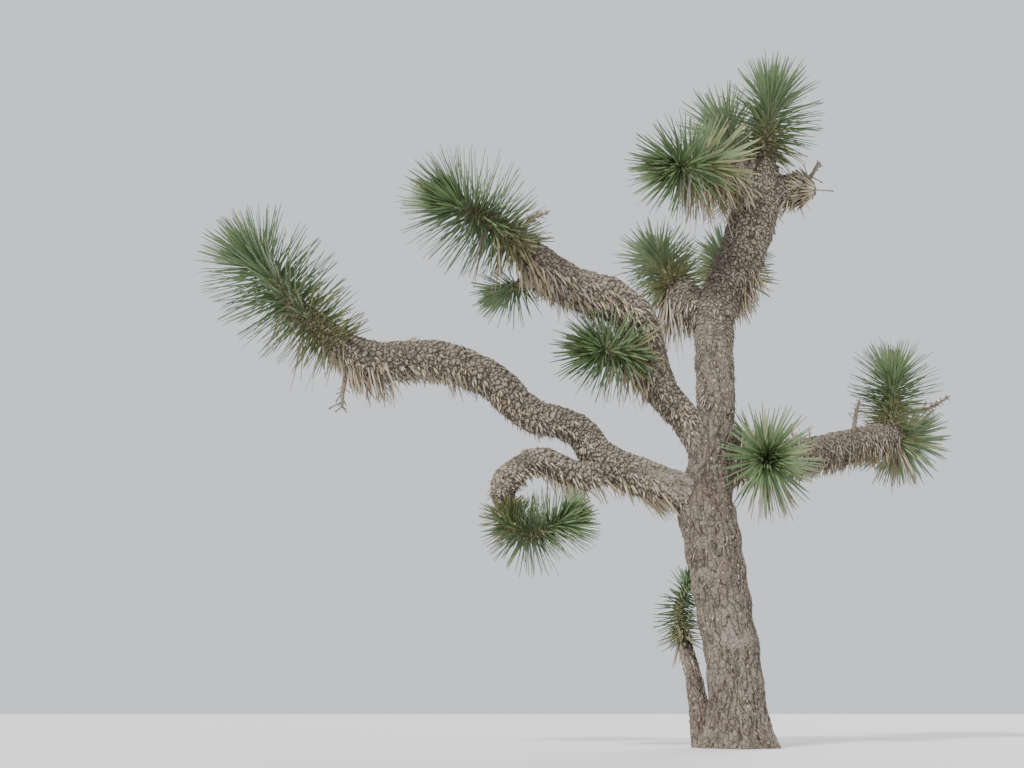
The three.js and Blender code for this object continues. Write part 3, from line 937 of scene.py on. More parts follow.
@dataclass(frozen=True)
class PlatePattern:
    """The pattern of the bark's plates, the same in its relief and in its finish.

    Args:
        width: Width of a plate.
        height: Height of a plate, along its limb.
        across: How much shallower the cracks round each plate are than the furrows that wind up the limb.
        rough: How far the plates' edges are frayed.
        warp: How far those edges wander.
        warp_scale: How close the wanderings are.
        rough_scale: How close the frays are.
        furrows: How close the winding furrows are.
        furrow_stretch: How much longer than wide they are.
        furrow_width: How fast their sides rise.
    """

    width: float
    height: float
    across: float = 0.0
    rough: float = 0.006
    warp: float = 0.022
    warp_scale: float = 13.0
    rough_scale: float = 70.0
    furrows: float = 28.0
    furrow_stretch: float = 4.5
    furrow_width: float = 3.0

    def place(self, nodes: Nodes, grain: object) -> tuple[bpy.types.NodeSocket, ...]:
        """Puts the pattern into a tree.

        Args:
            nodes: The tree's nodes.
            grain: The place on a limb.

        Returns:
            How far a place is from its plate's edge, the plate's own random number, and how far along the
            limb it is from the plate's middle, as a share of the plate's height.
        """
        warped = grain
        for scale, depth in ((self.warp_scale, self.warp), (self.rough_scale, self.rough)):
            inputs = {"Vector": grain, "Scale": scale, "Detail": 2.0}
            colour = nodes.add("ShaderNodeTexNoise", inputs).outputs["Color"]
            shift = nodes.scaled(nodes.vector("SUBTRACT", colour, (0.5, 0.5, 0.5)), 2 * depth)
            warped = nodes.vector("ADD", warped, shift)
        spot = nodes.vector("DIVIDE", warped, (self.width, self.width, self.height))
        gap = nodes.cells(spot, "DISTANCE_TO_EDGE").outputs["Distance"]
        cell = nodes.cells(spot, "F1").outputs
        tone = nodes.part(cell["Color"], 0)
        slope = nodes.part(nodes.vector("SUBTRACT", spot, cell["Position"]), 2)
        if self.across:
            gap = nodes.math("ADD", gap, self.across)
            rows = (self.furrows, self.furrows, self.furrows / self.furrow_stretch)
            winding = nodes.math("SUBTRACT", nodes.noise(nodes.vector("MULTIPLY", warped, rows), 1.0, 1.0), 0.5)
            furrow = nodes.math("MULTIPLY", nodes.math("ABSOLUTE", winding), self.furrow_width)
            gap = nodes.math("MINIMUM", gap, furrow)
        return gap, tone, slope


TRUNK_PLATES = PlatePattern(0.024, 0.036, 0.07, 0.008)
BOUGH_PLATES = PlatePattern(0.027, 0.022, 0.0, 0.0095)
TRUNK_TONES = ((0.175, 0.136, 0.104), (0.300, 0.252, 0.202), (0.092, 0.067, 0.050))
BOUGH_TONES = ((0.205, 0.164, 0.122), (0.340, 0.292, 0.230), (0.112, 0.084, 0.061))
# Painted shade: the near-black colour that the bark gets in its furrows and cracks, where the relief sinks
FURROW_SHADE = (0.038, 0.026, 0.019)
YOUNG_BARK_TONE = (0.340, 0.315, 0.170)
BARK_FIBRES = (260.0, 50.0)
BARK_CRACKS = (130.0, 130.0, 70.0)
LEAF_FIBRES = (900.0, 9.0)
BARK_DRIFT = 4.0
LEAF_RELIEF = 0.0008
FLOOR_RELIEF = 0.001
FLOOR_MOTTLE = 60.0
RELIEF_STRENGTH = 0.8

# Where a noise or a distance turns into a tone, as (low, high) or (low, high, start, end), and how strongly
PALE_DRIFT = (0.45, 0.7)
DARK_DRIFT = (0.5, 0.75)
DARK_SHIFT = (3.1, 1.7, 5.3)
DARK_SHARE = 0.7
MOTTLE = (0.5, 0.8, 0.0, 0.5)
MOTTLE_FINER = 9.0
FIBRE_EDGES = (0.42, 0.6)
FIBRE_FINER = 3.7
COARSE_SHARE = 0.7
FINE_SHARE = 0.3
PALE_PLATES = (0.35, 1.0, 0.0, 0.5)
DARK_PLATES = (0.0, 0.45, 0.55, 0.0)
YOUNG_SHARE = 0.85
FIBRE_SHARE = 0.3
# The next two lay painted shade into the bark's fine cracks and into the furrows round its plates and leaf scars
CRACK_SHADE = (0.0, 0.14, 0.4, 0.0)
FURROW_SHADE_EDGES = (0.01, 0.14, 0.9, 0.0)
PLATE_HEIGHTS = (0.0, 0.2)
CRACK_HEIGHTS = (0.0, 0.2, 0.0, 0.35)
FIBRE_HEIGHT = 0.6


class Effects:
    """The shader node groups that the finishes share."""

    def __init__(self) -> None:
        """Builds each group once."""
        self.drift = self._drift()
        self.fibre = self._fibre()
        self.bark = self._bark()

    def _drift(self) -> bpy.types.NodeTree:
        """Builds the slow drift of a colour between three weathered tones, with a fine mottle.

        Returns:
            The group.
        """
        inputs = {"Place": VECTOR, "Scale": FLOAT, "Main": COLOUR, "Pale": COLOUR, "Dark": COLOUR}
        nodes, given = new_tree("Weathered colour", "ShaderNodeTree", inputs, {"Colour": COLOUR})
        place, scale = given["Place"], given["Scale"]
        broad = nodes.ramp(nodes.noise(place, scale), *PALE_DRIFT)
        shade = nodes.ramp(nodes.noise(nodes.vector("ADD", place, DARK_SHIFT), scale), *DARK_DRIFT)
        mottle = nodes.noise(place, nodes.math("MULTIPLY", scale, MOTTLE_FINER), 4.0)
        colour = nodes.mix(broad, given["Main"], given["Pale"])
        colour = nodes.mix(nodes.math("MULTIPLY", shade, DARK_SHARE), colour, given["Dark"])
        colour = nodes.mix(nodes.ramp(mottle, *MOTTLE), colour, given["Dark"])
        return nodes.finished({"Colour": colour})

    def _fibre(self) -> bpy.types.NodeTree:
        """Builds fine fibres that run along the third axis of a place.

        Returns:
            The group.
        """
        inputs = {"Place": VECTOR, "Across": FLOAT, "Along": FLOAT}
        nodes, given = new_tree("Fibres", "ShaderNodeTree", inputs, {"Mask": FLOAT, "Height": FLOAT})
        stretch = nodes.first(
            "ShaderNodeCombineXYZ", {0: given["Across"], 1: given["Across"], 2: given["Along"]}
        )
        place = nodes.vector("MULTIPLY", given["Place"], stretch)
        coarse = nodes.noise(place, 1.0, 3.0)
        fine = nodes.math("MULTIPLY", nodes.noise(place, FIBRE_FINER, 2.0), FINE_SHARE)
        height = nodes.math("ADD", nodes.math("MULTIPLY", coarse, COARSE_SHARE), fine)
        return nodes.finished({"Mask": nodes.ramp(coarse, *FIBRE_EDGES), "Height": height})

    def _bark(self) -> bpy.types.NodeTree:
        """Builds bark that turns from the trunk's furrowed plates into the boughs' leaf scars, with painted shade
        in the furrows.

        Returns:
            The group.
        """
        inputs = {"Grain": VECTOR, "Shaft": FLOAT, "Leafy": FLOAT}
        nodes, given = new_tree("Bark", "ShaderNodeTree", inputs, {"Colour": COLOUR, "Height": FLOAT})
        grain, shaft = given["Grain"], given["Shaft"]
        scar_edge, scar_tone, _ = BOUGH_PLATES.place(nodes, grain)
        plate_edge, plate_tone, _ = TRUNK_PLATES.place(nodes, grain)
        edge = nodes.between(shaft, scar_edge, plate_edge)
        tone = nodes.between(shaft, scar_tone, plate_tone)
        tones = [nodes.mix(shaft, rgba(scar), rgba(plate)) for scar, plate in zip(BOUGH_TONES, TRUNK_TONES)]
        # Painted shade for the furrows and cracks
        furrow = rgba(FURROW_SHADE)
        colour = self.place_drift(nodes, grain, BARK_DRIFT, tones)
        colour = nodes.mix(nodes.ramp(tone, *PALE_PLATES), colour, tones[1])
        colour = nodes.mix(nodes.ramp(tone, *DARK_PLATES), colour, tones[2])
        young = nodes.math("MULTIPLY", given["Leafy"], YOUNG_SHARE)
        colour = nodes.mix(young, colour, rgba(YOUNG_BARK_TONE))
        fibre = self.place_fibre(nodes, grain, *BARK_FIBRES)
        colour = nodes.mix(nodes.math("MULTIPLY", fibre["Mask"], FIBRE_SHARE), colour, tones[1])
        cracks = nodes.cells(nodes.vector("MULTIPLY", grain, BARK_CRACKS), "DISTANCE_TO_EDGE").outputs["Distance"]
        # Painted shade: near-black colour in the fine cracks and in the furrows round the plates and leaf scars
        colour = nodes.mix(nodes.ramp(cracks, *CRACK_SHADE), colour, furrow)
        colour = nodes.mix(nodes.ramp(edge, *FURROW_SHADE_EDGES), colour, furrow)
        height = nodes.math("ADD", nodes.ramp(edge, *PLATE_HEIGHTS), nodes.ramp(cracks, *CRACK_HEIGHTS))
        height = nodes.math("MULTIPLY_ADD", fibre["Height"], FIBRE_HEIGHT, height)
        return nodes.finished({"Colour": colour, "Height": height})

    def place_bark(self, nodes: Nodes) -> bpy.types.NodeOutputs:
        """Puts the bark into a material, over the attributes of the skin.

        Args:
            nodes: The material's nodes.

        Returns:
            The outputs Colour and Height.
        """
        inputs = {"Grain": nodes.painted("grain"), "Shaft": nodes.painted("shaft", "Fac"),
                  "Leafy": nodes.painted("leafy", "Fac")}
        return nodes.add("ShaderNodeGroup", inputs, node_tree=self.bark).outputs

    def place_drift(self, nodes: Nodes, place: bpy.types.NodeSocket, scale: float, tones: Sequence
                    ) -> bpy.types.NodeSocket:
        """Puts the weathered colour into a tree.

        Args:
            nodes: The tree's nodes.
            place: The place on the surface.
            scale: How close the drifts are.
            tones: The main, pale and dark tones, as colours or as sockets that carry them.

        Returns:
            The colour.
        """
        main, pale, dark = (tone if isinstance(tone, bpy.types.NodeSocket) else rgba(tone) for tone in tones)
        inputs = {"Place": place, "Scale": scale, "Main": main, "Pale": pale, "Dark": dark}
        return nodes.first("ShaderNodeGroup", inputs, node_tree=self.drift)

    def place_fibre(self, nodes: Nodes, place: bpy.types.NodeSocket, across: float, along: float
                    ) -> bpy.types.NodeOutputs:
        """Puts the fibres into a tree and returns the outputs Mask and Height."""
        inputs = {"Place": place, "Across": across, "Along": along}
        return nodes.add("ShaderNodeGroup", inputs, node_tree=self.fibre).outputs


def new_material(name: str, roughness: float) -> tuple[bpy.types.Material, Nodes, bpy.types.Node]:
    """Starts a material.

    Args:
        name: Its name.
        roughness: Its roughness.

    Returns:
        The material, its nodes and its principled shader.
    """
    material = bpy.data.materials.new(name)
    material.use_nodes = True
    shader = material.node_tree.nodes["Principled BSDF"]
    shader.inputs["Roughness"].default_value = roughness
    return material, Nodes(material.node_tree), shader


def finish_with(nodes: Nodes, shader: bpy.types.Node, colour: object, height: object, depth: float) -> None:
    """Joins a colour and a relief to a shader.

    Args:
        nodes: The material's nodes.
        shader: The shader.
        colour: The colour's socket.
        height: The relief's socket.
        depth: Depth of the relief.
    """
    nodes.tree.links.new(colour, shader.inputs["Base Color"])
    bump = nodes.first("ShaderNodeBump", {"Height": height, "Strength": RELIEF_STRENGTH, "Distance": depth})
    nodes.tree.links.new(bump, shader.inputs["Normal"])


@dataclass(frozen=True)
class BarkFinish:
    """Weathered bark, with painted shade in its furrows and cracks, and straw-coloured under live leaves.

    Args:
        name: The material's name.
        roughness: How rough it is.
        depth: Depth of its finest relief.
    """

    name: str
    roughness: float
    depth: float

    def material(self, effects: Effects) -> bpy.types.Material:
        """Makes the material.

        Args:
            effects: The shared shader groups.

        Returns:
            The material.
        """
        material, nodes, shader = new_material(self.name, self.roughness)
        bark = effects.place_bark(nodes)
        finish_with(nodes, shader, bark["Colour"], bark["Height"], self.depth)
        return material


@dataclass(frozen=True)
class LeafFinish:
    """The skin of a leaf, or of one stretch of it, over the attribute blade.

    Args:
        name: The material's name.
        tones: Its main, pale and dark tones.
        streak: The colour of its fibres.
        streaks: How strongly the fibres show.
        roughness: How rough it is.
        drift: How close the drifts of its colour are.
    """

    name: str
    tones: tuple[Colour, Colour, Colour]
    streak: Colour
    streaks: float
    roughness: float
    drift: float = 6.0

    def material(self, effects: Effects) -> bpy.types.Material:
        """Makes the material.

        Args:
            effects: The shared shader groups.

        Returns:
            The material.
        """
        material, nodes, shader = new_material(self.name, self.roughness)
        spot = nodes.add("ShaderNodeTexCoord").outputs["Object"]
        colour = effects.place_drift(nodes, spot, self.drift, self.tones)
        fibre = effects.place_fibre(nodes, nodes.painted("blade"), *LEAF_FIBRES)
        shown = nodes.math("MULTIPLY", fibre["Mask"], self.streaks)
        colour = nodes.mix(shown, colour, rgba(self.streak))
        finish_with(nodes, shader, colour, fibre["Height"], LEAF_RELIEF)
        return material


@dataclass(frozen=True)
class FloorFinish:
    """A plain pale floor.

    Args:
        name: The material's name.
        tones: Its main, pale and dark tones, all close to each other.
        roughness: How rough it is.
        drift: How close the drifts of its colour are.
    """

    name: str
    tones: tuple[Colour, Colour, Colour]
    roughness: float = 0.85
    drift: float = 0.8

    def material(self, effects: Effects) -> bpy.types.Material:
        """Makes the material.

        Args:
            effects: The shared shader groups.

        Returns:
            The material.
        """
        material, nodes, shader = new_material(self.name, self.roughness)
        spot = nodes.add("ShaderNodeTexCoord").outputs["Object"]
        colour = effects.place_drift(nodes, spot, self.drift, self.tones)
        finish_with(nodes, shader, colour, nodes.noise(spot, FLOOR_MOTTLE, 3.0), FLOOR_RELIEF)
        return material


TRUNK_BARK = BarkFinish("trunk_bark", 0.94, 0.007)
BOUGH_BARK = BarkFinish("bough_bark", 0.90, 0.006)
DRY_STALK = LeafFinish(
    "dry_stalk", ((0.115, 0.082, 0.056), (0.230, 0.185, 0.140), (0.048, 0.034, 0.025)),
    (0.290, 0.250, 0.200), 0.35, 0.85,
)
LEAF_FOOT = LeafFinish(
    "leaf_foot", ((0.420, 0.400, 0.240), (0.560, 0.540, 0.380), (0.260, 0.240, 0.130)),
    (0.300, 0.290, 0.150), 0.4, 0.6,
)
LEAF_SPINE = LeafFinish(
    "leaf_spine", ((0.120, 0.062, 0.032), (0.200, 0.120, 0.070), (0.050, 0.026, 0.015)),
    (0.240, 0.150, 0.090), 0.3, 0.5,
)
LEAF_BLADES = {
    Age.OLD: LeafFinish(
        "old_leaf", ((0.165, 0.190, 0.078), (0.240, 0.250, 0.115), (0.100, 0.120, 0.048)),
        (0.300, 0.290, 0.150), 0.35, 0.55,
    ),
    Age.GROWN: LeafFinish(
        "grown_leaf", ((0.100, 0.158, 0.072), (0.160, 0.215, 0.110), (0.055, 0.094, 0.044)),
        (0.215, 0.265, 0.140), 0.3, 0.48,
    ),
    Age.YOUNG: LeafFinish(
        "young_leaf", ((0.130, 0.205, 0.085), (0.190, 0.265, 0.125), (0.072, 0.125, 0.050)),
        (0.250, 0.310, 0.160), 0.25, 0.45,
    ),
}
WITHERED_BLADES = {
    Age.OLD: LeafFinish(
        "grey_withered_leaf", ((0.290, 0.260, 0.215), (0.420, 0.390, 0.335), (0.150, 0.128, 0.100)),
        (0.480, 0.450, 0.390), 0.45, 0.85,
    ),
    Age.GROWN: LeafFinish(
        "straw_withered_leaf", ((0.400, 0.325, 0.205), (0.520, 0.440, 0.300), (0.230, 0.175, 0.105)),
        (0.560, 0.490, 0.350), 0.4, 0.8,
    ),
    Age.YOUNG: LeafFinish(
        "brown_withered_leaf", ((0.235, 0.170, 0.105), (0.340, 0.265, 0.175), (0.120, 0.082, 0.050)),
        (0.400, 0.330, 0.230), 0.4, 0.8,
    ),
}
FLOOR = FloorFinish("pale_floor", ((0.74, 0.73, 0.71), (0.77, 0.76, 0.74), (0.71, 0.70, 0.68)))

# The relief of the bark: how wide the rims of plates and leaf scars are, and how much they differ in height
PLATE_RIM = 0.22
PLATE_STEPS = 0.35
SCAR_RIM = 0.25
SCAR_RISE = 0.8
SCAR_STEPS = 0.4
SCAR_LEVEL = 0.9
LUMP_SCALE = 9.0
LEAFY_CALM = 0.6
GROUND_HOLD = 0.03
LEAFY_FROM = 0.12
WHOLE_TRUNK = 9.0
SKIN_VALUES = ("grain", "shaft", "leafy")


def deliver(piece: bpy.types.Object, nodes: Sequence[str] = ()) -> bpy.types.Object:
    """Attaches a finished piece to the body, hides the nodes that it stands for and logs its triangles.

    Args:
        piece: The piece.
        nodes: The nodes that it stands for.

    Returns:
        The piece.
    """
    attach(piece, BODY)
    if nodes:
        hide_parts(*nodes)
    triangles = sum(len(face.vertices) - 2 for face in piece.data.polygons)
    LOG.info("%s: %d triangles", piece.name, triangles)
    return piece


@dataclass
class BarkCoat:
    """The bark of all limbs and stems: one smooth skin over their forks, with its relief.

    Args:
        growth: The lines of the limbs and stems.
        voxel: The size of the skin's meshes.
        tube_sides: The sides of the plain tubes that it is laid over.
        ring_spacing: The length of each stretch of those tubes.
        fillet: How many times the skin is smoothed, which fills its forks.
        sample_spacing: How far apart the places of a line are that the skin's corners are matched with.
        fewest_samples: How many such places the shortest line has.
        block: How many corners are matched at a time.
        furrow_depth: Depth of the furrows between the plates.
        shingle_lift: How far the lower ends of a bough's plates, the feet of old leaves, stand out.
        lump_height: Height of the broad lumps of the skin.
    """

    growth: Growth
    voxel: float = 0.0064
    tube_sides: int = 44
    ring_spacing: float = 0.02
    fillet: int = 7
    sample_spacing: float = 0.012
    fewest_samples: int = 6
    block: int = 4000
    furrow_depth: float = 0.0075
    shingle_lift: float = 0.0075
    lump_height: float = 0.006

    def skin(self) -> bpy.types.Object:
        """Lays one smooth skin over the tubes of all limbs and stems.

        Returns:
            The skin.
        """
        corners, faces, count = [], [], 0
        for plan in PLANS.values():
            line = self.growth.lines[plan.name]
            rings = max(4, round(line.length / self.ring_spacing))
            more, rims = tube(line, self.tube_sides, rings, partial(girth, plan, line))
            corners.append(more)
            faces.extend(tuple(count + k for k in face) for face in rims)
            count += len(more)
        skin = new_object("skin", new_mesh("skin", np.vstack(corners), faces))
        remesh = skin.modifiers.new("Skin", "REMESH")
        remesh.mode = "VOXEL"
        remesh.voxel_size = self.voxel
        skin.modifiers.new("Fillet", "SMOOTH").iterations = self.fillet
        return applied(skin, "skin")

    def cut_flat(self, skin: bpy.types.Object) -> None:
        """Cuts the skin flat at the ground and closes it there.

        Args:
            skin: The skin.
        """
        shape = bmesh.new()
        shape.from_mesh(skin.data)
        everything = [*shape.verts, *shape.edges, *shape.faces]
        cut = bmesh.ops.bisect_plane(
            shape, geom=everything, dist=1e-5, plane_co=(0, 0, 0), plane_no=(0, 0, 1), clear_inner=True
        )
        rim = [part for part in cut["geom_cut"] if isinstance(part, bmesh.types.BMEdge)]
        bmesh.ops.holes_fill(shape, edges=rim, sides=0)
        bmesh.ops.triangulate(shape, faces=shape.faces[:])
        shape.to_mesh(skin.data)
        shape.free()

    def _samples(self) -> np.ndarray:
        """Samples the lines of all limbs and stems.

        Returns:
            A row for each sample: its point, tangent, normal and side, its radius, how far along it is, the
            number of its group, and how far its bark is that of the trunk and that under live leaves.
        """
        rows = []
        for number, plan in enumerate(PLANS.values()):
            line = self.growth.lines[plan.name]
            count = max(self.fewest_samples, round(line.length / self.sample_spacing))
            shares = np.linspace(0, 1, count)
            size = girth(plan, line, shares, np.zeros(count))
            along = shares * line.length + number
            group = 0 * shares + list(Group).index(plan.group)
            plated = WHOLE_TRUNK if plan.group is Group.TRUNK else getattr(plan, "plated", 0.0)
            shaft = 1 - smooth(0.0, max(plated, 1e-3), shares * line.length)
            leafy = smooth(0.0, LEAFY_FROM, shares) if plan in ROSETTES else 0 * shares
            rows.append(np.column_stack((*line.at(shares), size, along, group, shaft, leafy)))
        return np.vstack(rows).astype(np.float32)

    def mark(self, skin: bpy.types.Object) -> np.ndarray:
        """Stores where each corner lies along and round its limb.

        Args:
            skin: The skin.

        Returns:
            The number of each corner's group, in the order of Group.
        """
        corners = corners_of(skin.data)
        samples = self._samples()
        nearest = np.empty(len(corners), dtype=int)
        square = (samples[:, :3] ** 2).sum(1)
        for first in range(0, len(corners), self.block):
            block = corners[first:first + self.block]
            gaps = (block ** 2).sum(1)[:, None] + square - 2 * block @ samples[:, :3].T
            depths = np.sqrt(np.maximum(gaps, 0)) - samples[:, 12]
            nearest[first:first + self.block] = np.argmin(depths, axis=1)
        own = samples[nearest]
        points, tangents, normals, sides = (own[:, k:k + 3] for k in (0, 3, 6, 9))
        _, along, group, shaft, leafy = own[:, 12:].T
        offset = corners - points
        along = along + (offset * tangents).sum(1)
        grain = np.column_stack(((offset * normals).sum(1), (offset * sides).sum(1), along))
        for name, values in zip(SKIN_VALUES, (grain, shaft, leafy)):
            store(skin.data, name, values)
        return group.astype(int)

    def relief_tree(self) -> bpy.types.NodeTree:
        """Builds the tree that raises flat plates on the trunk and the feet of old leaves on the boughs.

        Returns:
            The tree.
        """
        sizes = ("Furrow Depth", "Shingle Lift", "Lump Height")
        inputs = {"Geometry": GEOMETRY, **{name: FLOAT for name in sizes}, "Material": MATERIAL}
        nodes, given = new_tree("Bark relief", "GeometryNodeTree", inputs, {"Geometry": GEOMETRY})
        grain, shaft, leafy = nodes.named("grain", "FLOAT_VECTOR"), nodes.named("shaft"), nodes.named("leafy")
        edge, tone, _ = TRUNK_PLATES.place(nodes, grain)
        level = nodes.math("ADD", nodes.ramp(edge, 0.0, PLATE_RIM), nodes.math("MULTIPLY", tone, PLATE_STEPS))
        plate = nodes.math("MULTIPLY", nodes.math("SUBTRACT", level, 1.0), given["Furrow Depth"])
        edge, tone, slope = BOUGH_PLATES.place(nodes, grain)
        rise = nodes.math("MULTIPLY", nodes.ramp(edge, 0.0, SCAR_RIM), SCAR_RISE)
        level = nodes.math("MULTIPLY_ADD", tone, SCAR_STEPS, nodes.math("SUBTRACT", rise, slope))
        shingle = nodes.math("MULTIPLY", nodes.math("SUBTRACT", level, SCAR_LEVEL), given["Shingle Lift"])
        top = nodes.between(shaft, shingle, plate)
        lumps = nodes.math("SUBTRACT", nodes.noise(grain, LUMP_SCALE, 3.0), 0.5)
        lift = nodes.math("MULTIPLY_ADD", lumps, nodes.math("MULTIPLY", given["Lump Height"], 2.0), top)
        calm = nodes.math("SUBTRACT", 1.0, nodes.math("MULTIPLY", leafy, LEAFY_CALM))
        raised = nodes.scaled(nodes.first("GeometryNodeInputNormal"), nodes.math("MULTIPLY", lift, calm))
        rising = nodes.ramp(nodes.part(nodes.first("GeometryNodeInputPosition"), 2), 0.0, GROUND_HOLD)
        held = nodes.first("ShaderNodeCombineXYZ", {0: 1.0, 1: 1.0, 2: rising})
        inputs = {"Geometry": given["Geometry"], "Offset": nodes.vector("MULTIPLY", raised, held)}
        shape = nodes.first("GeometryNodeSetPosition", inputs)
        shape = nodes.first("GeometryNodeRealizeInstances", {"Geometry": shape})
        shape = nodes.first("GeometryNodeSetMaterial", {"Geometry": shape, "Material": given["Material"]})
        return nodes.finished({"Geometry": shape})

    def build(self, effects: Effects) -> list[bpy.types.Object]:
        """Makes the bark's pieces, one for each group of limbs.

        Args:
            effects: The shared shader groups.

        Returns:
            The pieces.
        """
        skin = self.skin()
        self.cut_flat(skin)
        groups = self.mark(skin)
        bough, trunk = BOUGH_BARK.material(effects), TRUNK_BARK.material(effects)
        values = {"Furrow Depth": self.furrow_depth, "Shingle Lift": self.shingle_lift,
                  "Lump Height": self.lump_height, "Material": bough}
        modified(skin, self.relief_tree(), values)
        skin = applied(skin, "skin")
        pieces = []
        for number, group in enumerate(Group):
            piece = self.part_of(skin, groups, number, f"{group.value}_bark")
            is_trunk = group is Group.TRUNK
            piece.data.materials.append(trunk if is_trunk else bough)
            nodes = [limb.name for limb in LIMBS if limb.group is group]
            pieces.append(deliver(piece, nodes))
        bpy.data.objects.remove(skin)
        return pieces

    def part_of(self, skin: bpy.types.Object, groups: np.ndarray, number: int, name: str) -> bpy.types.Object:
        """Makes one group's part of the skin, closed where it is parted from the others.

        Args:
            skin: The whole skin, in triangles.
            groups: The number of each corner's group.
            number: The number of this group.
            name: The piece's name.

        Returns:
            The piece.
        """
        mesh = skin.data
        faces = np.zeros(len(mesh.polygons) * 3, dtype=np.int32)
        mesh.polygons.foreach_get("vertices", faces)
        faces = faces.reshape(-1, 3)
        mine = faces[np.sort(groups[faces], axis=1)[:, 1] == number]
        used, flat = np.unique(mine, return_inverse=True)
        mine = flat.reshape(-1, 3)
        points = corners_of(mesh)[used]
        points[:, 2] = np.maximum(points[:, 2], 0)
        lids, lid_points, copied = self._lids(mine, points)
        piece_mesh = new_mesh(name, np.vstack((points, lid_points)), [*mine.tolist(), *lids])
        for attribute in SKIN_VALUES:
            values = read(mesh, attribute)[used]
            store(piece_mesh, attribute, np.concatenate((values, values[copied])))
        piece_mesh.shade_smooth()
        return new_object(name, piece_mesh)

    def _lids(self, faces: np.ndarray, points: np.ndarray) -> tuple[list, np.ndarray, np.ndarray]:
        """Closes each open rim with a fan of faces of its own.

        Args:
            faces: The triangles.
            points: Their corners.

        Returns:
            The faces of the lids, their corners, and the corner that each of those was copied from.
        """
        edges = np.vstack((faces[:, [0, 1]], faces[:, [1, 2]], faces[:, [2, 0]]))
        known = set(map(tuple, edges.tolist()))
        after: dict[int, list[int]] = {}
        for a, b in known:
            if (b, a) not in known:
                after.setdefault(a, []).append(b)
        lids, lid_points, copied = [], [], []
        while after:
            start = next(iter(after))
            loop = [start]
            while True:
                follow = after[loop[-1]]
                step = follow.pop()
                if not follow:
                    del after[loop[-1]]
                if step == start:
                    break
                loop.append(step)
            rim = points[loop]
            first = len(points) + len(lid_points)
            middle = first + len(loop)
            lid_points.extend((*rim, rim.mean(axis=0)))
            copied.extend((*loop, loop[0]))
            lids.extend((first + (k + 1) % len(loop), first + k, middle) for k in range(len(loop)))
        return lids, np.array(lid_points).reshape(-1, 3), np.array(copied, dtype=int)


@dataclass
class Places:
    """Where leaves grow: one row for each leaf.

    Args:
        root: Where each leaf is rooted.
        direction: Where it points.
        up: The direction that its flat face looks to.
        size: Its width, thickness and length.
        sag: How far its tip hangs, as a share of its length.
        age: The number of its age.
    """

    root: np.ndarray
    direction: np.ndarray
    up: np.ndarray
    size: np.ndarray
    sag: np.ndarray
    age: np.ndarray

    def kept(self, keep: np.ndarray) -> "Places":
        """Returns the places where keep is true."""
        return Places(*(getattr(self, name)[keep] for name in self.__dataclass_fields__))

    @staticmethod
    def joined(several: Sequence["Places"]) -> "Places":
        """Returns several sets of places as one."""
        names = Places.__dataclass_fields__
        return Places(*(np.concatenate([getattr(one, name) for one in several]) for name in names))

    def points(self, share: float) -> np.ndarray:
        """Returns the point of each leaf at a share of its length."""
        return self.root + share * self.size[:, 2:] * self.direction


def per_slot(foot: object, blades: dict[Age, object], spine: object) -> dict[str, object]:
    """Returns what belongs to a leaf's foot, to its blade at each age and to its spine, by name."""
    return {"Foot": foot, **{age.slot: blades[age] for age in Age}, "Spine": spine}


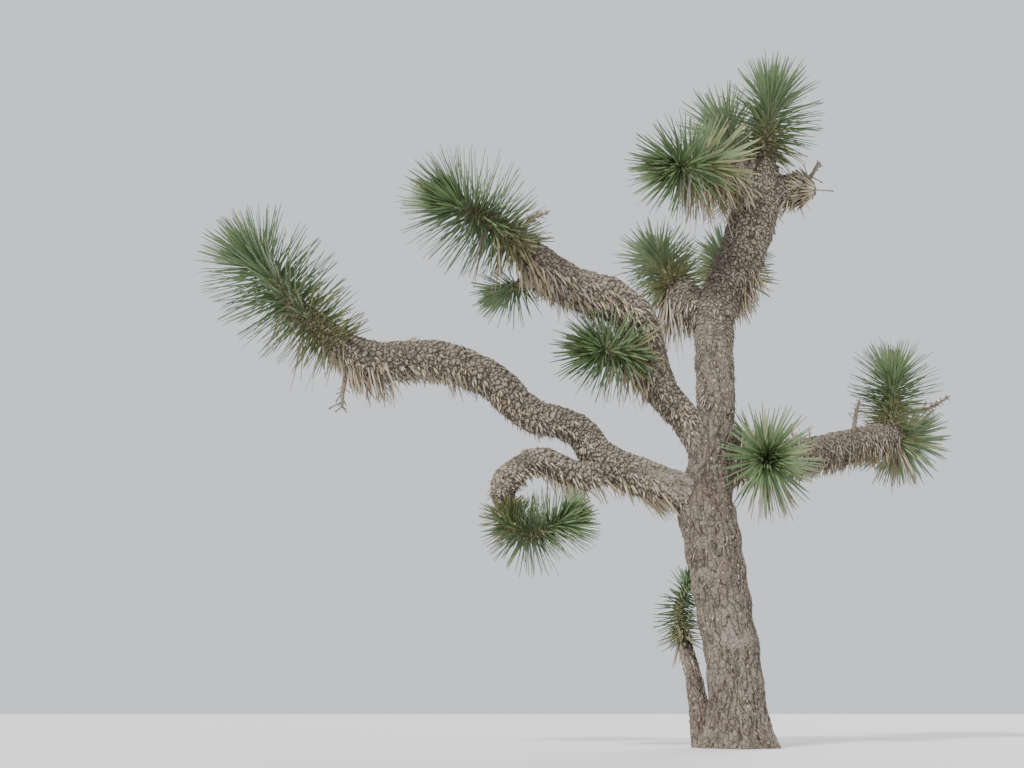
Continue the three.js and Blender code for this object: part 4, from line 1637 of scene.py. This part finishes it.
@dataclass
class LeafPress:
    """Makes leaves of one shape at given places and joins them into one mesh.

    Args:
        name: The name of the shape.
        outline: The leaf's half width at each section, as shares of half its width.
        sections: How far along the leaf the sections are; its tip is a point.
        keel: How deep the keel under the leaf is at each section, as a share of its thickness.
        foot_end: The section where the leaf's foot ends.
        spine_start: The section where its spine starts.
        face: How high its flat face lies over its middle, as a share of its thickness.
        hang: How strongly its leaves sag.
    """

    name: str
    outline: tuple[float, ...] = (2.2, 1.15, 1.0, 0.42)
    sections: tuple[float, ...] = (0.0, 0.09, 0.52, 0.93)
    keel: tuple[float, ...] = (1.6, 1.1, 0.85, 0.55)
    foot_end: int = 1
    spine_start: int = 3
    face: float = 0.25
    hang: float = 1.0
    tree: bpy.types.NodeTree = field(init=False)
    leaf: bpy.types.Object = field(init=False)

    def __post_init__(self) -> None:
        """Makes the one leaf that is dealt out and the tree that deals it."""
        corners, faces, zones = [], [], []
        for width, share, depth in zip(self.outline, self.sections, self.keel):
            corners += [(-width / 2, self.face, share), (width / 2, self.face, share),
                        (0.0, self.face - depth, share)]
        tip = len(corners)
        corners.append((0.0, 0.0, 1.0))
        last = len(self.sections) - 1
        for i in range(last + 1):
            zone = Zone.SPINE if i >= self.spine_start else Zone.BLADE
            zone = Zone.FOOT if i < self.foot_end else zone
            for a, b in ((0, 1), (1, 2), (2, 0)):
                low = (3 * i + b, 3 * i + a)
                faces.append((*low, 3 * i + 3 + a, 3 * i + 3 + b) if i < last else (*low, tip))
                zones.append(zone.value)
        faces.append((0, 1, 2))
        zones.append(Zone.FOOT.value)
        corners = np.array(corners)
        mesh = new_mesh(self.name, corners, faces)
        store(mesh, "along", corners[:, 2])
        store(mesh, "blade", corners)
        store(mesh, "zone", np.array(zones), "FACE")
        self.leaf = new_object(self.name, mesh)
        self.tree = self._tree()

    def _tree(self) -> bpy.types.NodeTree:
        """Builds the tree that deals the leaf out over points and gives each stretch its finish.

        Returns:
            The tree.
        """
        finishes = per_slot(MATERIAL, dict.fromkeys(Age, MATERIAL), MATERIAL)
        inputs = {"Geometry": GEOMETRY, "Leaf": OBJECT, "Sag": FLOAT, **finishes}
        nodes, given = new_tree(f"Deal {self.name}", "GeometryNodeTree", inputs, {"Geometry": GEOMETRY})
        leaf = nodes.add("GeometryNodeObjectInfo", {"Object": given["Leaf"]}).outputs["Geometry"]
        size = nodes.named("size", "FLOAT_VECTOR")
        turn = nodes.first(
            "FunctionNodeAxesToRotation",
            {"Primary Axis": nodes.named("direction", "FLOAT_VECTOR"),
             "Secondary Axis": nodes.named("face_up", "FLOAT_VECTOR")},
            primary_axis="Z", secondary_axis="Y",
        )
        inputs = {"Points": given["Geometry"], "Instance": leaf, "Rotation": turn, "Scale": size}
        shape = nodes.first("GeometryNodeInstanceOnPoints", inputs)
        shape = nodes.first("GeometryNodeRealizeInstances", {"Geometry": shape})
        along = nodes.named("along")
        drop = nodes.math("MULTIPLY", nodes.math("MULTIPLY", along, along), nodes.part(size, 2))
        drop = nodes.math("MULTIPLY", drop, nodes.named("sag"))
        drop = nodes.math("MULTIPLY", drop, given["Sag"])
        offset = nodes.scaled((0.0, 0.0, -1.0), drop)
        shape = nodes.first("GeometryNodeSetPosition", {"Geometry": shape, "Offset": offset})
        zone, age = nodes.named("zone"), nodes.named("age")
        foot, blade, spine = (nodes.equal(zone, one.value) for one in Zone)
        blades = {one: nodes.math("MULTIPLY", blade, nodes.equal(age, one.value)) for one in Age}
        for name, chosen in per_slot(foot, blades, spine).items():
            inputs = {"Geometry": shape, "Selection": chosen, "Material": given[name]}
            shape = nodes.first("GeometryNodeSetMaterial", inputs)
        return nodes.finished({"Geometry": shape})

    def deal(self, name: str, places: Places, finishes: dict[str, bpy.types.Material]) -> bpy.types.Object:
        """Joins a leaf for each place into one piece.

        Args:
            name: The piece's name.
            places: Where the leaves grow.
            finishes: The material of each named stretch and age.

        Returns:
            The piece.
        """
        mesh = new_mesh(name, places.root, [])
        rows = {"direction": places.direction, "face_up": places.up, "size": places.size,
                "sag": places.sag, "age": places.age}
        for attribute, values in rows.items():
            store(mesh, attribute, values)
        points = new_object(name, mesh)
        modified(points, self.tree, {"Leaf": self.leaf, "Sag": self.hang, **finishes})
        piece = applied(points, name)
        for attribute in (*rows, "zone", "along"):
            if attribute in piece.data.attributes:
                piece.data.attributes.remove(piece.data.attributes[attribute])
        return piece

    def put_away(self) -> None:
        """Removes the one leaf that was dealt out."""
        bpy.data.objects.remove(self.leaf)


@dataclass
class Foliage:
    """The rosettes of live leaves, and the withered leaves under them and along the limbs.

    Args:
        growth: The lines of the limbs and stems.
        leaf_width: Width of a live leaf.
        leaf_thickness: Its thickness.
        live_sag: How far a live leaf's tip hangs, as a share of its length.
        heart_share: How many young leaves stand at a stem's tip for each wide leaf of the solid.
        heart_tilts: Degrees that they lean out, from the innermost, which close over the tip, to the outermost.
        withered_width: Width of a withered leaf.
        withered_sag: How far its tip hangs.
        fringe_width: Width of the stubs along the limbs.
        clear: How far leaves stay from limbs.
    """

    growth: Growth
    leaf_width: float = 0.0112
    leaf_thickness: float = 0.0048
    live_sag: float = 0.03
    heart_share: float = 2.2
    heart_tilts: Range = (-3.0, 32.0)
    withered_width: float = 0.011
    withered_sag: float = 0.22
    fringe_width: float = 0.0075
    clear: float = 0.004

    def leaf_tilt(self, place: np.ndarray, rosette: Rosette) -> np.ndarray:
        """Works out how far each leaf leans from its stem.

        Args:
            place: The leaves' places, from 0 at the stem's foot to 1 at its tip.
            rosette: Their rosette.

        Returns:
            The tilt of each leaf, in degrees.
        """
        foot, shoulder, tip = rosette.tilts
        shaft = 1 - CROWN_SHARE
        rises = np.cos(np.radians((shoulder, tip)))
        rise = lerp(rises[0], rises[1], np.clip((place - shaft) / CROWN_SHARE, 0, 1))
        return np.where(place < shaft, lerp(foot, shoulder, place / shaft), np.degrees(np.arccos(rise)))

    def thin(self, width: float, widths: Range, count: int, random: np.random.Generator
             ) -> tuple[np.ndarray, np.ndarray]:
        """Returns the widths, as shares of one width, and the thicknesses of that many withered leaves."""
        drawn = width * random.uniform(*widths, count)
        return drawn, self.leaf_thickness * random.uniform(*WITHERED_THICKNESSES, count)

    def live_places(self, rosette: Rosette, random: np.random.Generator) -> Places:
        """Finds where a rosette's leaves grow: a golden-angle spiral up its stem, then over its tip.

        Args:
            rosette: The rosette.
            random: Gives the random numbers.

        Returns:
            The places of its leaves.
        """
        count = rosette.leaves * rosette.finer
        order = np.arange(count)
        place = (order + 0.5) / count
        share = lerp(FIRST_LEAF, LAST_LEAF, np.minimum(place / (1 - TIP_SHARE), 1))
        spin = np.radians(order * GOLDEN_ANGLE + random.uniform(-ANGLE_JITTER, ANGLE_JITTER, count))
        tilt = self.leaf_tilt(place, rosette) + random.uniform(-TILT_JITTER, TILT_JITTER, count)
        tilt = np.radians(tilt)[:, None]
        points, tangents, outward = self.growth.lines[rosette.name].around(share, spin)
        offset = LEAF_ROOT * stem_radius(rosette, share)
        worn = lerp(rosette.oldest, 1.0, np.minimum(place / WORN_SHARE, 1))
        full = rosette.reach * worn * lerp(1.0, rosette.youngest, place)
        share_left = np.where(random.random(count) < SHORT_SHARE, random.uniform(*SHORT_LENGTHS, count), 1.0)
        length = full * share_left * (1 + random.uniform(-LENGTH_JITTER, LENGTH_JITTER, count)) - offset
        width = self.leaf_width * random.uniform(*LEAF_WIDTHS, count)
        thickness = self.leaf_thickness * random.uniform(*LEAF_THICKNESSES, count)
        youth = place + random.uniform(-AGE_JITTER, AGE_JITTER, count)
        grown = np.where(youth < YOUNG_FROM, Age.GROWN.value, Age.YOUNG.value)
        return Places(
            root=points + offset[:, None] * outward,
            direction=unit(np.cos(tilt) * tangents + np.sin(tilt) * outward),
            up=tangents,
            size=np.column_stack((width, thickness, length)),
            sag=self.live_sag * random.uniform(*LEAF_SAGS, count),
            age=np.where(youth < GROWN_FROM, Age.OLD.value, grown),
        )

    def heart_places(self, rosette: Rosette, random: np.random.Generator) -> Places:
        """Finds where the tight bundle of young leaves at the tip of a rosette's stem grows.

        Args:
            rosette: The rosette.
            random: Gives the random numbers.

        Returns:
            The places of those leaves.
        """
        count = round(self.heart_share * rosette.leaves)
        order = (np.arange(count) + 0.5) / count
        spin = np.radians(np.arange(count) * GOLDEN_ANGLE)
        share = np.full(count, HEART_PLACE)
        points, tangents, outward = self.growth.lines[rosette.name].around(share, spin)
        tilt = lerp(*self.heart_tilts, order) + random.uniform(-HEART_JITTER, HEART_JITTER, count)
        tilt = np.radians(tilt)[:, None]
        spread = stem_radius(rosette, share) * np.sqrt(order) * HEART_SPREAD
        length = rosette.reach * rosette.youngest * lerp(*HEART_LENGTHS, order)
        length = length * random.uniform(*HEART_SHARES, count)
        return Places(
            root=points + spread[:, None] * outward,
            direction=unit(np.cos(tilt) * tangents + np.sin(tilt) * outward),
            up=unit(tangents + HEART_FACING * outward),
            size=np.column_stack((np.full(count, self.leaf_width), np.full(count, self.leaf_thickness), length)),
            sag=np.zeros(count),
            age=np.full(count, Age.YOUNG.value),
        )

    def fitted(self, places: Places, rosette: Rosette) -> Places:
        """Finds the leaves that keep to a rosette's space and touch no limb, cut shorter where that helps.

        Args:
            places: Where the leaves grow, at their full lengths.
            rosette: Their rosette.

        Returns:
            The leaves that fit.
        """
        full = places.size[:, 2].copy()
        fit = np.zeros(len(full))
        for share in SHORTER:
            places.size[:, 2] = full * share
            fits = self.in_own_space(places, rosette) & self.clear_of_limbs(places)
            fit = np.where((fit == 0) & fits, full * share, fit)
        places.size[:, 2] = fit
        return places.kept(fit > 0)

    def skirt_places(self, rosette: Rosette, random: np.random.Generator) -> Places:
        """Finds where a rosette's withered leaves hang, from the underside of its stem.

        Args:
            rosette: The rosette.
            random: Gives the random numbers.

        Returns:
            The places of those leaves.
        """
        count = rosette.skirt * FINER_SKIRT
        share = SKIRT_START + SKIRT_SHARE * (np.arange(count) + random.random(count)) / max(count, 1)
        swing = np.column_stack((random.random((count, 2)) - 0.5, np.zeros(count))) * 2 * SKIRT_SPREAD
        direction = unit(DOWN + swing)
        outward = unit(direction + SKIRT_SIDE * swing)
        offset = stem_radius(rosette, share)[:, None]
        worn = lerp(rosette.oldest, 1.0, np.minimum(share / WORN_SHARE, 1))
        length = rosette.reach * worn * random.uniform(*SKIRT_LENGTHS, count)
        return Places(
            root=self.growth.lines[rosette.name].at(share)[0] + offset * outward,
            direction=direction,
            up=unit(random.normal(size=(count, 3)) * SKIRT_FACING),
            size=np.column_stack((*self.thin(self.withered_width, SKIRT_WIDTHS, count, random), length)),
            sag=self.withered_sag * random.uniform(*SKIRT_SAGS, count),
            age=random.integers(0, len(Age), count),
        )

    def fringe_places(self, limb: Limb, random: np.random.Generator) -> Places:
        """Finds where stubs and withered leaves are left along a limb, most of them on its underside.

        Args:
            limb: The limb.
            random: Gives the random numbers.

        Returns:
            The places of those leaves.
        """
        line = self.growth.lines[limb.name]
        count = round(limb.fringe.density * line.length)
        share = random.random(count)
        spin = random.uniform(0, 2 * math.pi, count)
        points, tangents, outward = line.around(share, spin)
        radius = limb_radius(limb, line, share, spin)
        level = np.sqrt(1 - np.clip(tangents[:, 2], -1, 1) ** 2)
        under = lerp(1.0, lerp(limb.fringe.top, 1.0, smooth(*UNDERSIDE, -outward[:, 2])), level)
        loose = random.normal(scale=STUB_JITTER, size=(count, 3))
        drop = random.uniform(*STUB_DROPS, (count, 1)) * DOWN
        direction = unit(STUB_OUT * outward - STUB_BACK * tangents + drop + loose)
        length = random.triangular(limb.fringe.shortest, limb.fringe.shortest, limb.fringe.longest, count)
        length = length + STUB_ROOT
        made = Places(
            root=points + (radius - STUB_DEPTH)[:, None] * outward,
            direction=direction,
            up=outward,
            size=np.column_stack((*self.thin(self.fringe_width, STUB_WIDTHS, count, random), length)),
            sag=self.withered_sag * random.uniform(*STUB_SAGS, count),
            age=random.integers(0, len(Age), count),
        )
        return made.kept((random.random(count) < under) & (made.root[:, 2] > STUB_FLOOR))

    def tuft_places(self, tuft: Tuft, random: np.random.Generator) -> Places:
        """Finds where the leaves of a tuft grow, on the upper side or the underside of what carries it.

        Args:
            tuft: The tuft.
            random: Gives the random numbers.

        Returns:
            The places of its leaves.
        """
        line = self.growth.lines[tuft.on]
        count = tuft.count
        share = np.clip(tuft.share + tuft.spread * random.normal(size=count), *TUFT_ENDS)
        points, tangents, _, _ = line.at(share)
        rise = np.array((0.0, 0.0, tuft.rise))
        splay = random.uniform(-TUFT_SPLAY, TUFT_SPLAY, (count, 3))
        outward = unit(rise + np.array((tuft.side, 0.0, 0.0)) + splay)
        outward = unit(outward - (outward * tangents).sum(1, keepdims=True) * tangents)
        loose = random.normal(scale=TUFT_JITTER, size=(count, 3))
        back = tuft.lean + random.uniform(-TUFT_LEAN, TUFT_LEAN, (count, 1))
        radius = girth(PLANS[tuft.on], line, share, 0 * share)
        return Places(
            root=points + (radius - TUFT_DEPTH)[:, None] * outward,
            direction=unit(rise + TUFT_OUT * outward - back * tangents + loose),
            up=unit(random.normal(size=(count, 3))),
            size=np.column_stack((
                *self.thin(self.withered_width, TUFT_WIDTHS, count, random),
                tuft.length * random.uniform(*TUFT_LENGTHS, count) + TUFT_ROOT,
            )),
            sag=self.withered_sag * random.uniform(*TUFT_SAGS, count),
            age=random.integers(0, len(Age), count),
        )

    def nearness(self, points: np.ndarray, rosette: Rosette) -> np.ndarray:
        """Measures how far points are from a rosette's stem.

        Args:
            points: The points.
            rosette: The rosette.

        Returns:
            The distances, as shares of the rosette's reach.
        """
        samples = self.growth.lines[rosette.name].at(np.linspace(0, 1, LINE_SAMPLES + 1))[0]
        gaps = np.linalg.norm(points[:, None] - samples[None], axis=2)
        return gaps.min(axis=1) / rosette.reach

    def in_own_space(self, places: Places, rosette: Rosette) -> np.ndarray:
        """Finds which leaves stay nearer to their own stem than to any other.

        Args:
            places: The leaves.
            rosette: Their rosette.

        Returns:
            Whether each leaf does.
        """
        keep = np.ones(len(places.root), dtype=bool)
        for share in SPACE_TESTS:
            points = places.points(share)
            own = self.nearness(points, rosette)
            for other in (*ROSETTES, DRY_SPUR):
                if other is not rosette:
                    keep &= self.nearness(points, other) >= own
        return keep

    def clear_of_limbs(self, places: Places, own: str = "") -> np.ndarray:
        """Finds which leaves touch no limb and stay above the ground.

        Args:
            places: The leaves.
            own: The limb that they may touch, because they are rooted in it.

        Returns:
            Whether each leaf is clear.
        """
        keep = places.points(1.0)[:, 2] > CLEAR_GROUND
        for limb in (limb for limb in LIMBS if limb.name != own):
            line = self.growth.lines[limb.name]
            shares = np.linspace(0, 1, max(CLEAR_FEWEST, round(line.length / CLEAR_SPACING)))
            samples = line.at(shares)[0]
            sizes = spaced(limb.radii, shares) + self.clear
            for share in CLEAR_TESTS:
                gaps = np.linalg.norm(places.points(share)[:, None] - samples[None], axis=2)
                keep &= (gaps > sizes).all(axis=1)
        return keep

    def build(self, effects: Effects) -> list[bpy.types.Object]:
        """Makes the foliage's pieces: one for each rosette, and the withered leaves of each group.

        Args:
            effects: The shared shader groups.

        Returns:
            The pieces.
        """
        press = LeafPress("dagger_leaf")
        foot, spine = LEAF_FOOT.material(effects), LEAF_SPINE.material(effects)
        green = per_slot(foot, {age: finish.material(effects) for age, finish in LEAF_BLADES.items()}, spine)
        blades = {age: finish.material(effects) for age, finish in WITHERED_BLADES.items()}
        withered = per_slot(blades[Age.GROWN], blades, blades[Age.YOUNG])
        random = np.random.default_rng(SEED)
        pieces = []
        dead: dict[Group, list[Places]] = {group: [] for group in Group}
        for rosette in ROSETTES:
            places = Places.joined((self.live_places(rosette, random), self.heart_places(rosette, random)))
            piece = press.deal(rosette.name + "_leaves", self.fitted(places, rosette), green)
            pieces.append(deliver(piece, [rosette.name]))
            dead[rosette.group].append(self.fitted(self.skirt_places(rosette, random), rosette))
        spur = Places.joined((self.live_places(DRY_SPUR, random), self.live_places(DRY_SPUR, random),
                              self.skirt_places(DRY_SPUR, random)))
        spur.size[:, 2] *= random.uniform(*SPUR_LENGTHS, len(spur.age))
        spur.age = random.integers(0, len(Age), len(spur.age))
        piece = press.deal("dry_spur_leaves", self.fitted(spur, DRY_SPUR), withered)
        pieces.append(deliver(piece, ["dry_spur"]))
        for tuft in TUFTS:
            places, plan = self.tuft_places(tuft, random), PLANS[tuft.on]
            own = plan.name if isinstance(plan, Limb) else plan.on
            dead[plan.group].append(places.kept(self.clear_of_limbs(places, own)))
        for group, parts in dead.items():
            piece = press.deal(f"{group.value}_withered_leaves", Places.joined(parts), withered)
            pieces.append(deliver(piece))
        press.put_away()
        return pieces + self._stubs(withered, random)

    def _stubs(self, finishes: dict[str, bpy.types.Material], random: np.random.Generator
               ) -> list[bpy.types.Object]:
        """Makes the stubs of old leaves along the limbs.

        Args:
            finishes: The material of each named stretch and age.
            random: Gives the random numbers.

        Returns:
            The pieces, one for each group of limbs.
        """
        press = LeafPress("stub", (1.3, 1.0), (0.0, 0.6), (1.0, 0.8), 0, 2)
        pieces = []
        for group in Group:
            parts = []
            for limb in (limb for limb in LIMBS if limb.group is group):
                places = self.fringe_places(limb, random)
                parts.append(places.kept(self.clear_of_limbs(places, limb.name)))
            piece = press.deal(f"{group.value}_stubs", Places.joined(parts), finishes)
            pieces.append(deliver(piece))
        press.put_away()
        return pieces


@dataclass
class DryStalks:
    """The dry flower stalks, each a bent rod with the twigs that bore its flowers.

    Args:
        growth: The lines that they follow.
        sides: Sides of a rod.
        rings: Stretches of a rod.
        twig_length: Length of the lowest twig.
        twig_width: Its width.
        lean: How far a twig leans along its rod.
    """

    growth: Growth
    sides: int = 12
    rings: int = 28
    twig_length: float = 0.060
    twig_width: float = 0.0075
    lean: float = 0.7

    def build(self, effects: Effects) -> list[bpy.types.Object]:
        """Makes one piece for each stalk.

        Args:
            effects: The shared shader groups.

        Returns:
            The pieces.
        """
        press = LeafPress("twig", (1.0, 0.9, 0.8, 1.1), (0.0, 0.3, 0.7, 0.92), (1.0, 0.9, 0.8, 1.1))
        material = DRY_STALK.material(effects)
        finishes = per_slot(material, dict.fromkeys(Age, material), material)
        random = np.random.default_rng(SEED + 1)
        pieces = []
        for stalk in STALKS:
            twigs = press.deal(stalk.name + "_twigs", self.twig_places(stalk, random), finishes)
            piece = self.with_rod(stalk, twigs, material)
            pieces.append(deliver(piece, [stalk.node] if stalk.node else []))
        press.put_away()
        return pieces

    def twig_places(self, stalk: Stalk, random: np.random.Generator) -> Places:
        """Finds where a stalk's twigs grow: a spiral over its outer half, shorter towards its tip.

        Args:
            stalk: The stalk.
            random: Gives the random numbers.

        Returns:
            The places of its twigs and its straws.
        """
        line = self.growth.lines[stalk.name]
        count = stalk.twigs
        order = np.arange(count)
        share = lerp(*TWIG_ENDS, order / (count - 1))
        points, tangents, outward = line.around(share, np.radians(order * GOLDEN_ANGLE))
        length = self.twig_length * lerp(1.0, TWIG_TIP, order / count) * random.uniform(*TWIG_SIZES, count)
        width = self.twig_width * random.uniform(*TWIG_SIZES, count)
        twigs = Places(
            root=points,
            direction=unit(outward + self.lean * tangents),
            up=tangents,
            size=np.column_stack((width, width, length)),
            sag=random.uniform(*TWIG_SAGS, count),
            age=np.zeros(count),
        )
        if not stalk.straws:
            return twigs
        share, heading, rise, length = np.array(stalk.straws).T
        turn, lift = np.radians(heading), np.radians(rise)
        width = np.full(len(share), self.twig_width)
        straws = Places(
            root=line.at(share)[0],
            direction=np.column_stack((np.cos(lift) * np.cos(turn), np.cos(lift) * np.sin(turn), np.sin(lift))),
            up=np.tile(STRAW_FACING, (len(share), 1)),
            size=np.column_stack((width, width, length)),
            sag=np.full(len(share), STRAW_SAG),
            age=np.zeros(len(share)),
        )
        return Places.joined((twigs, straws))

    def with_rod(self, stalk: Stalk, twigs: bpy.types.Object, material: bpy.types.Material) -> bpy.types.Object:
        """Joins a stalk's rod to its twigs.

        Args:
            stalk: The stalk.
            twigs: Its twigs.
            material: The finish of both.

        Returns:
            The piece.
        """
        line = self.growth.lines[stalk.name]

        def radius(share: np.ndarray, angle: np.ndarray) -> np.ndarray:
            """Works out the rod's radius, its joints and ridges included.

            Args:
                share: Shares of its length.
                angle: Angles round it.

            Returns:
                The radius there.
            """
            joints = np.maximum(0, np.sin(2 * math.pi * share * line.length / JOINT_SPACING))
            ridges = 1 + ROD_RIDGE_DEPTH * np.sin(ROD_RIDGES * angle + ROD_TWIST * share)
            return spaced(stalk.radii, share) * (1 + JOINT_HEIGHT * joints ** 4) * ridges

        corners, faces = tube(line, self.sides, self.rings, radius)
        mesh = new_mesh(stalk.name, corners, faces)
        along = np.repeat(np.linspace(0, 1, self.rings + 1), self.sides)
        along = np.concatenate((along, (0.0, 1.0)))
        store(mesh, "blade", np.column_stack((corners[:, :2] * ROD_GRAIN, along)))
        mesh.materials.append(material)
        rod = new_object(stalk.name, mesh)
        with bpy.context.temp_override(active_object=rod, selected_editable_objects=[rod, twigs]):
            bpy.ops.object.join()
        return rod


@dataclass(frozen=True)
class Lamp:
    """A lamp that shines at the middle of the tree from far away.

    Args:
        name: Its name.
        place: The side that it shines from.
        strength: How strong it is.
        softness: How broad it is, in degrees.
    """

    name: str
    place: tuple[float, float, float]
    strength: float
    softness: float

    def hang(self) -> None:
        """Makes the lamp."""
        light = bpy.data.lights.new(self.name, "SUN")
        light.energy = self.strength
        light.angle = math.radians(self.softness)
        made = placed(bpy.data.objects.new(self.name, light))
        middle = (CAD_BOX[0] + CAD_BOX[1]) / 2
        made.location = self.place
        made.rotation_euler = (middle - made.location).to_track_quat("-Z", "Y").to_euler()


LAMPS = (
    Lamp("key", (-5.0, -6.0, 7.5), 4.4, 10.0),
    Lamp("fill", (6.0, -5.5, 2.5), 0.7, 40.0),
    Lamp("back", (3.0, 7.0, 6.0), 1.6, 25.0),
)
SKY_TONE = (0.86, 0.90, 0.96)


@dataclass
class Studio:
    """The floor, the light and the camera.

    Args:
        lens: Focal length of the camera.
        sensor: Width of its sensor, in millimetres like the focal length.
        sight: How far it sees.
        eye: Where it stands.
        pitch: How far it looks up, in degrees.
        floor_size: Width of the floor.
    """

    lens: float = 35.33
    sensor: float = 36.0
    sight: float = 400.0
    eye: tuple[float, float, float] = (-1.1261, -5.3000, 0.1698)
    pitch: float = 18.075
    floor_size: float = 160.0

    def build(self, effects: Effects) -> None:
        """Makes the floor, the plain background, the lamps and the camera.

        Args:
            effects: The shared shader groups.
        """
        self._floor(effects)
        self._sky()
        for lamp in LAMPS:
            lamp.hang()
        camera = placed(bpy.data.objects.new("camera", bpy.data.cameras.new("camera")))
        camera.data.lens = self.lens
        camera.data.sensor_width = self.sensor
        camera.data.clip_end = self.sight
        camera.location = self.eye
        camera.rotation_euler = (math.radians(90 + self.pitch), 0.0, 0.0)
        bpy.context.scene.camera = camera

    def _floor(self, effects: Effects) -> None:
        """Makes the floor.

        Args:
            effects: The shared shader groups.
        """
        half = self.floor_size / 2
        corners = np.array(((-half, -half, 0), (half, -half, 0), (half, half, 0), (-half, half, 0)))
        floor = new_object("floor", new_mesh("floor", corners, [(0, 1, 2, 3)]))
        floor.data.materials.append(FLOOR.material(effects))

    def _sky(self) -> None:
        """Makes the plain background, which is also the soft light from all sides."""
        world = bpy.data.worlds.new("studio")
        world.use_nodes = True
        background = world.node_tree.nodes["Background"]
        background.inputs["Color"].default_value = rgba(SKY_TONE)
        background.inputs["Strength"].default_value = 1.0
        bpy.context.scene.world = world


def main() -> None:
    """Builds the tree from its bark to its leaves, then the studio round it."""
    logging.basicConfig(level=logging.INFO, format="%(message)s")
    effects = Effects()
    growth = Growth()
    pieces = BarkCoat(growth).build(effects)
    pieces += Foliage(growth).build(effects)
    pieces += DryStalks(growth).build(effects)
    Studio().build(effects)
    LOG.info("%d pieces", len(pieces))


if __name__ == "__main__":
    main()
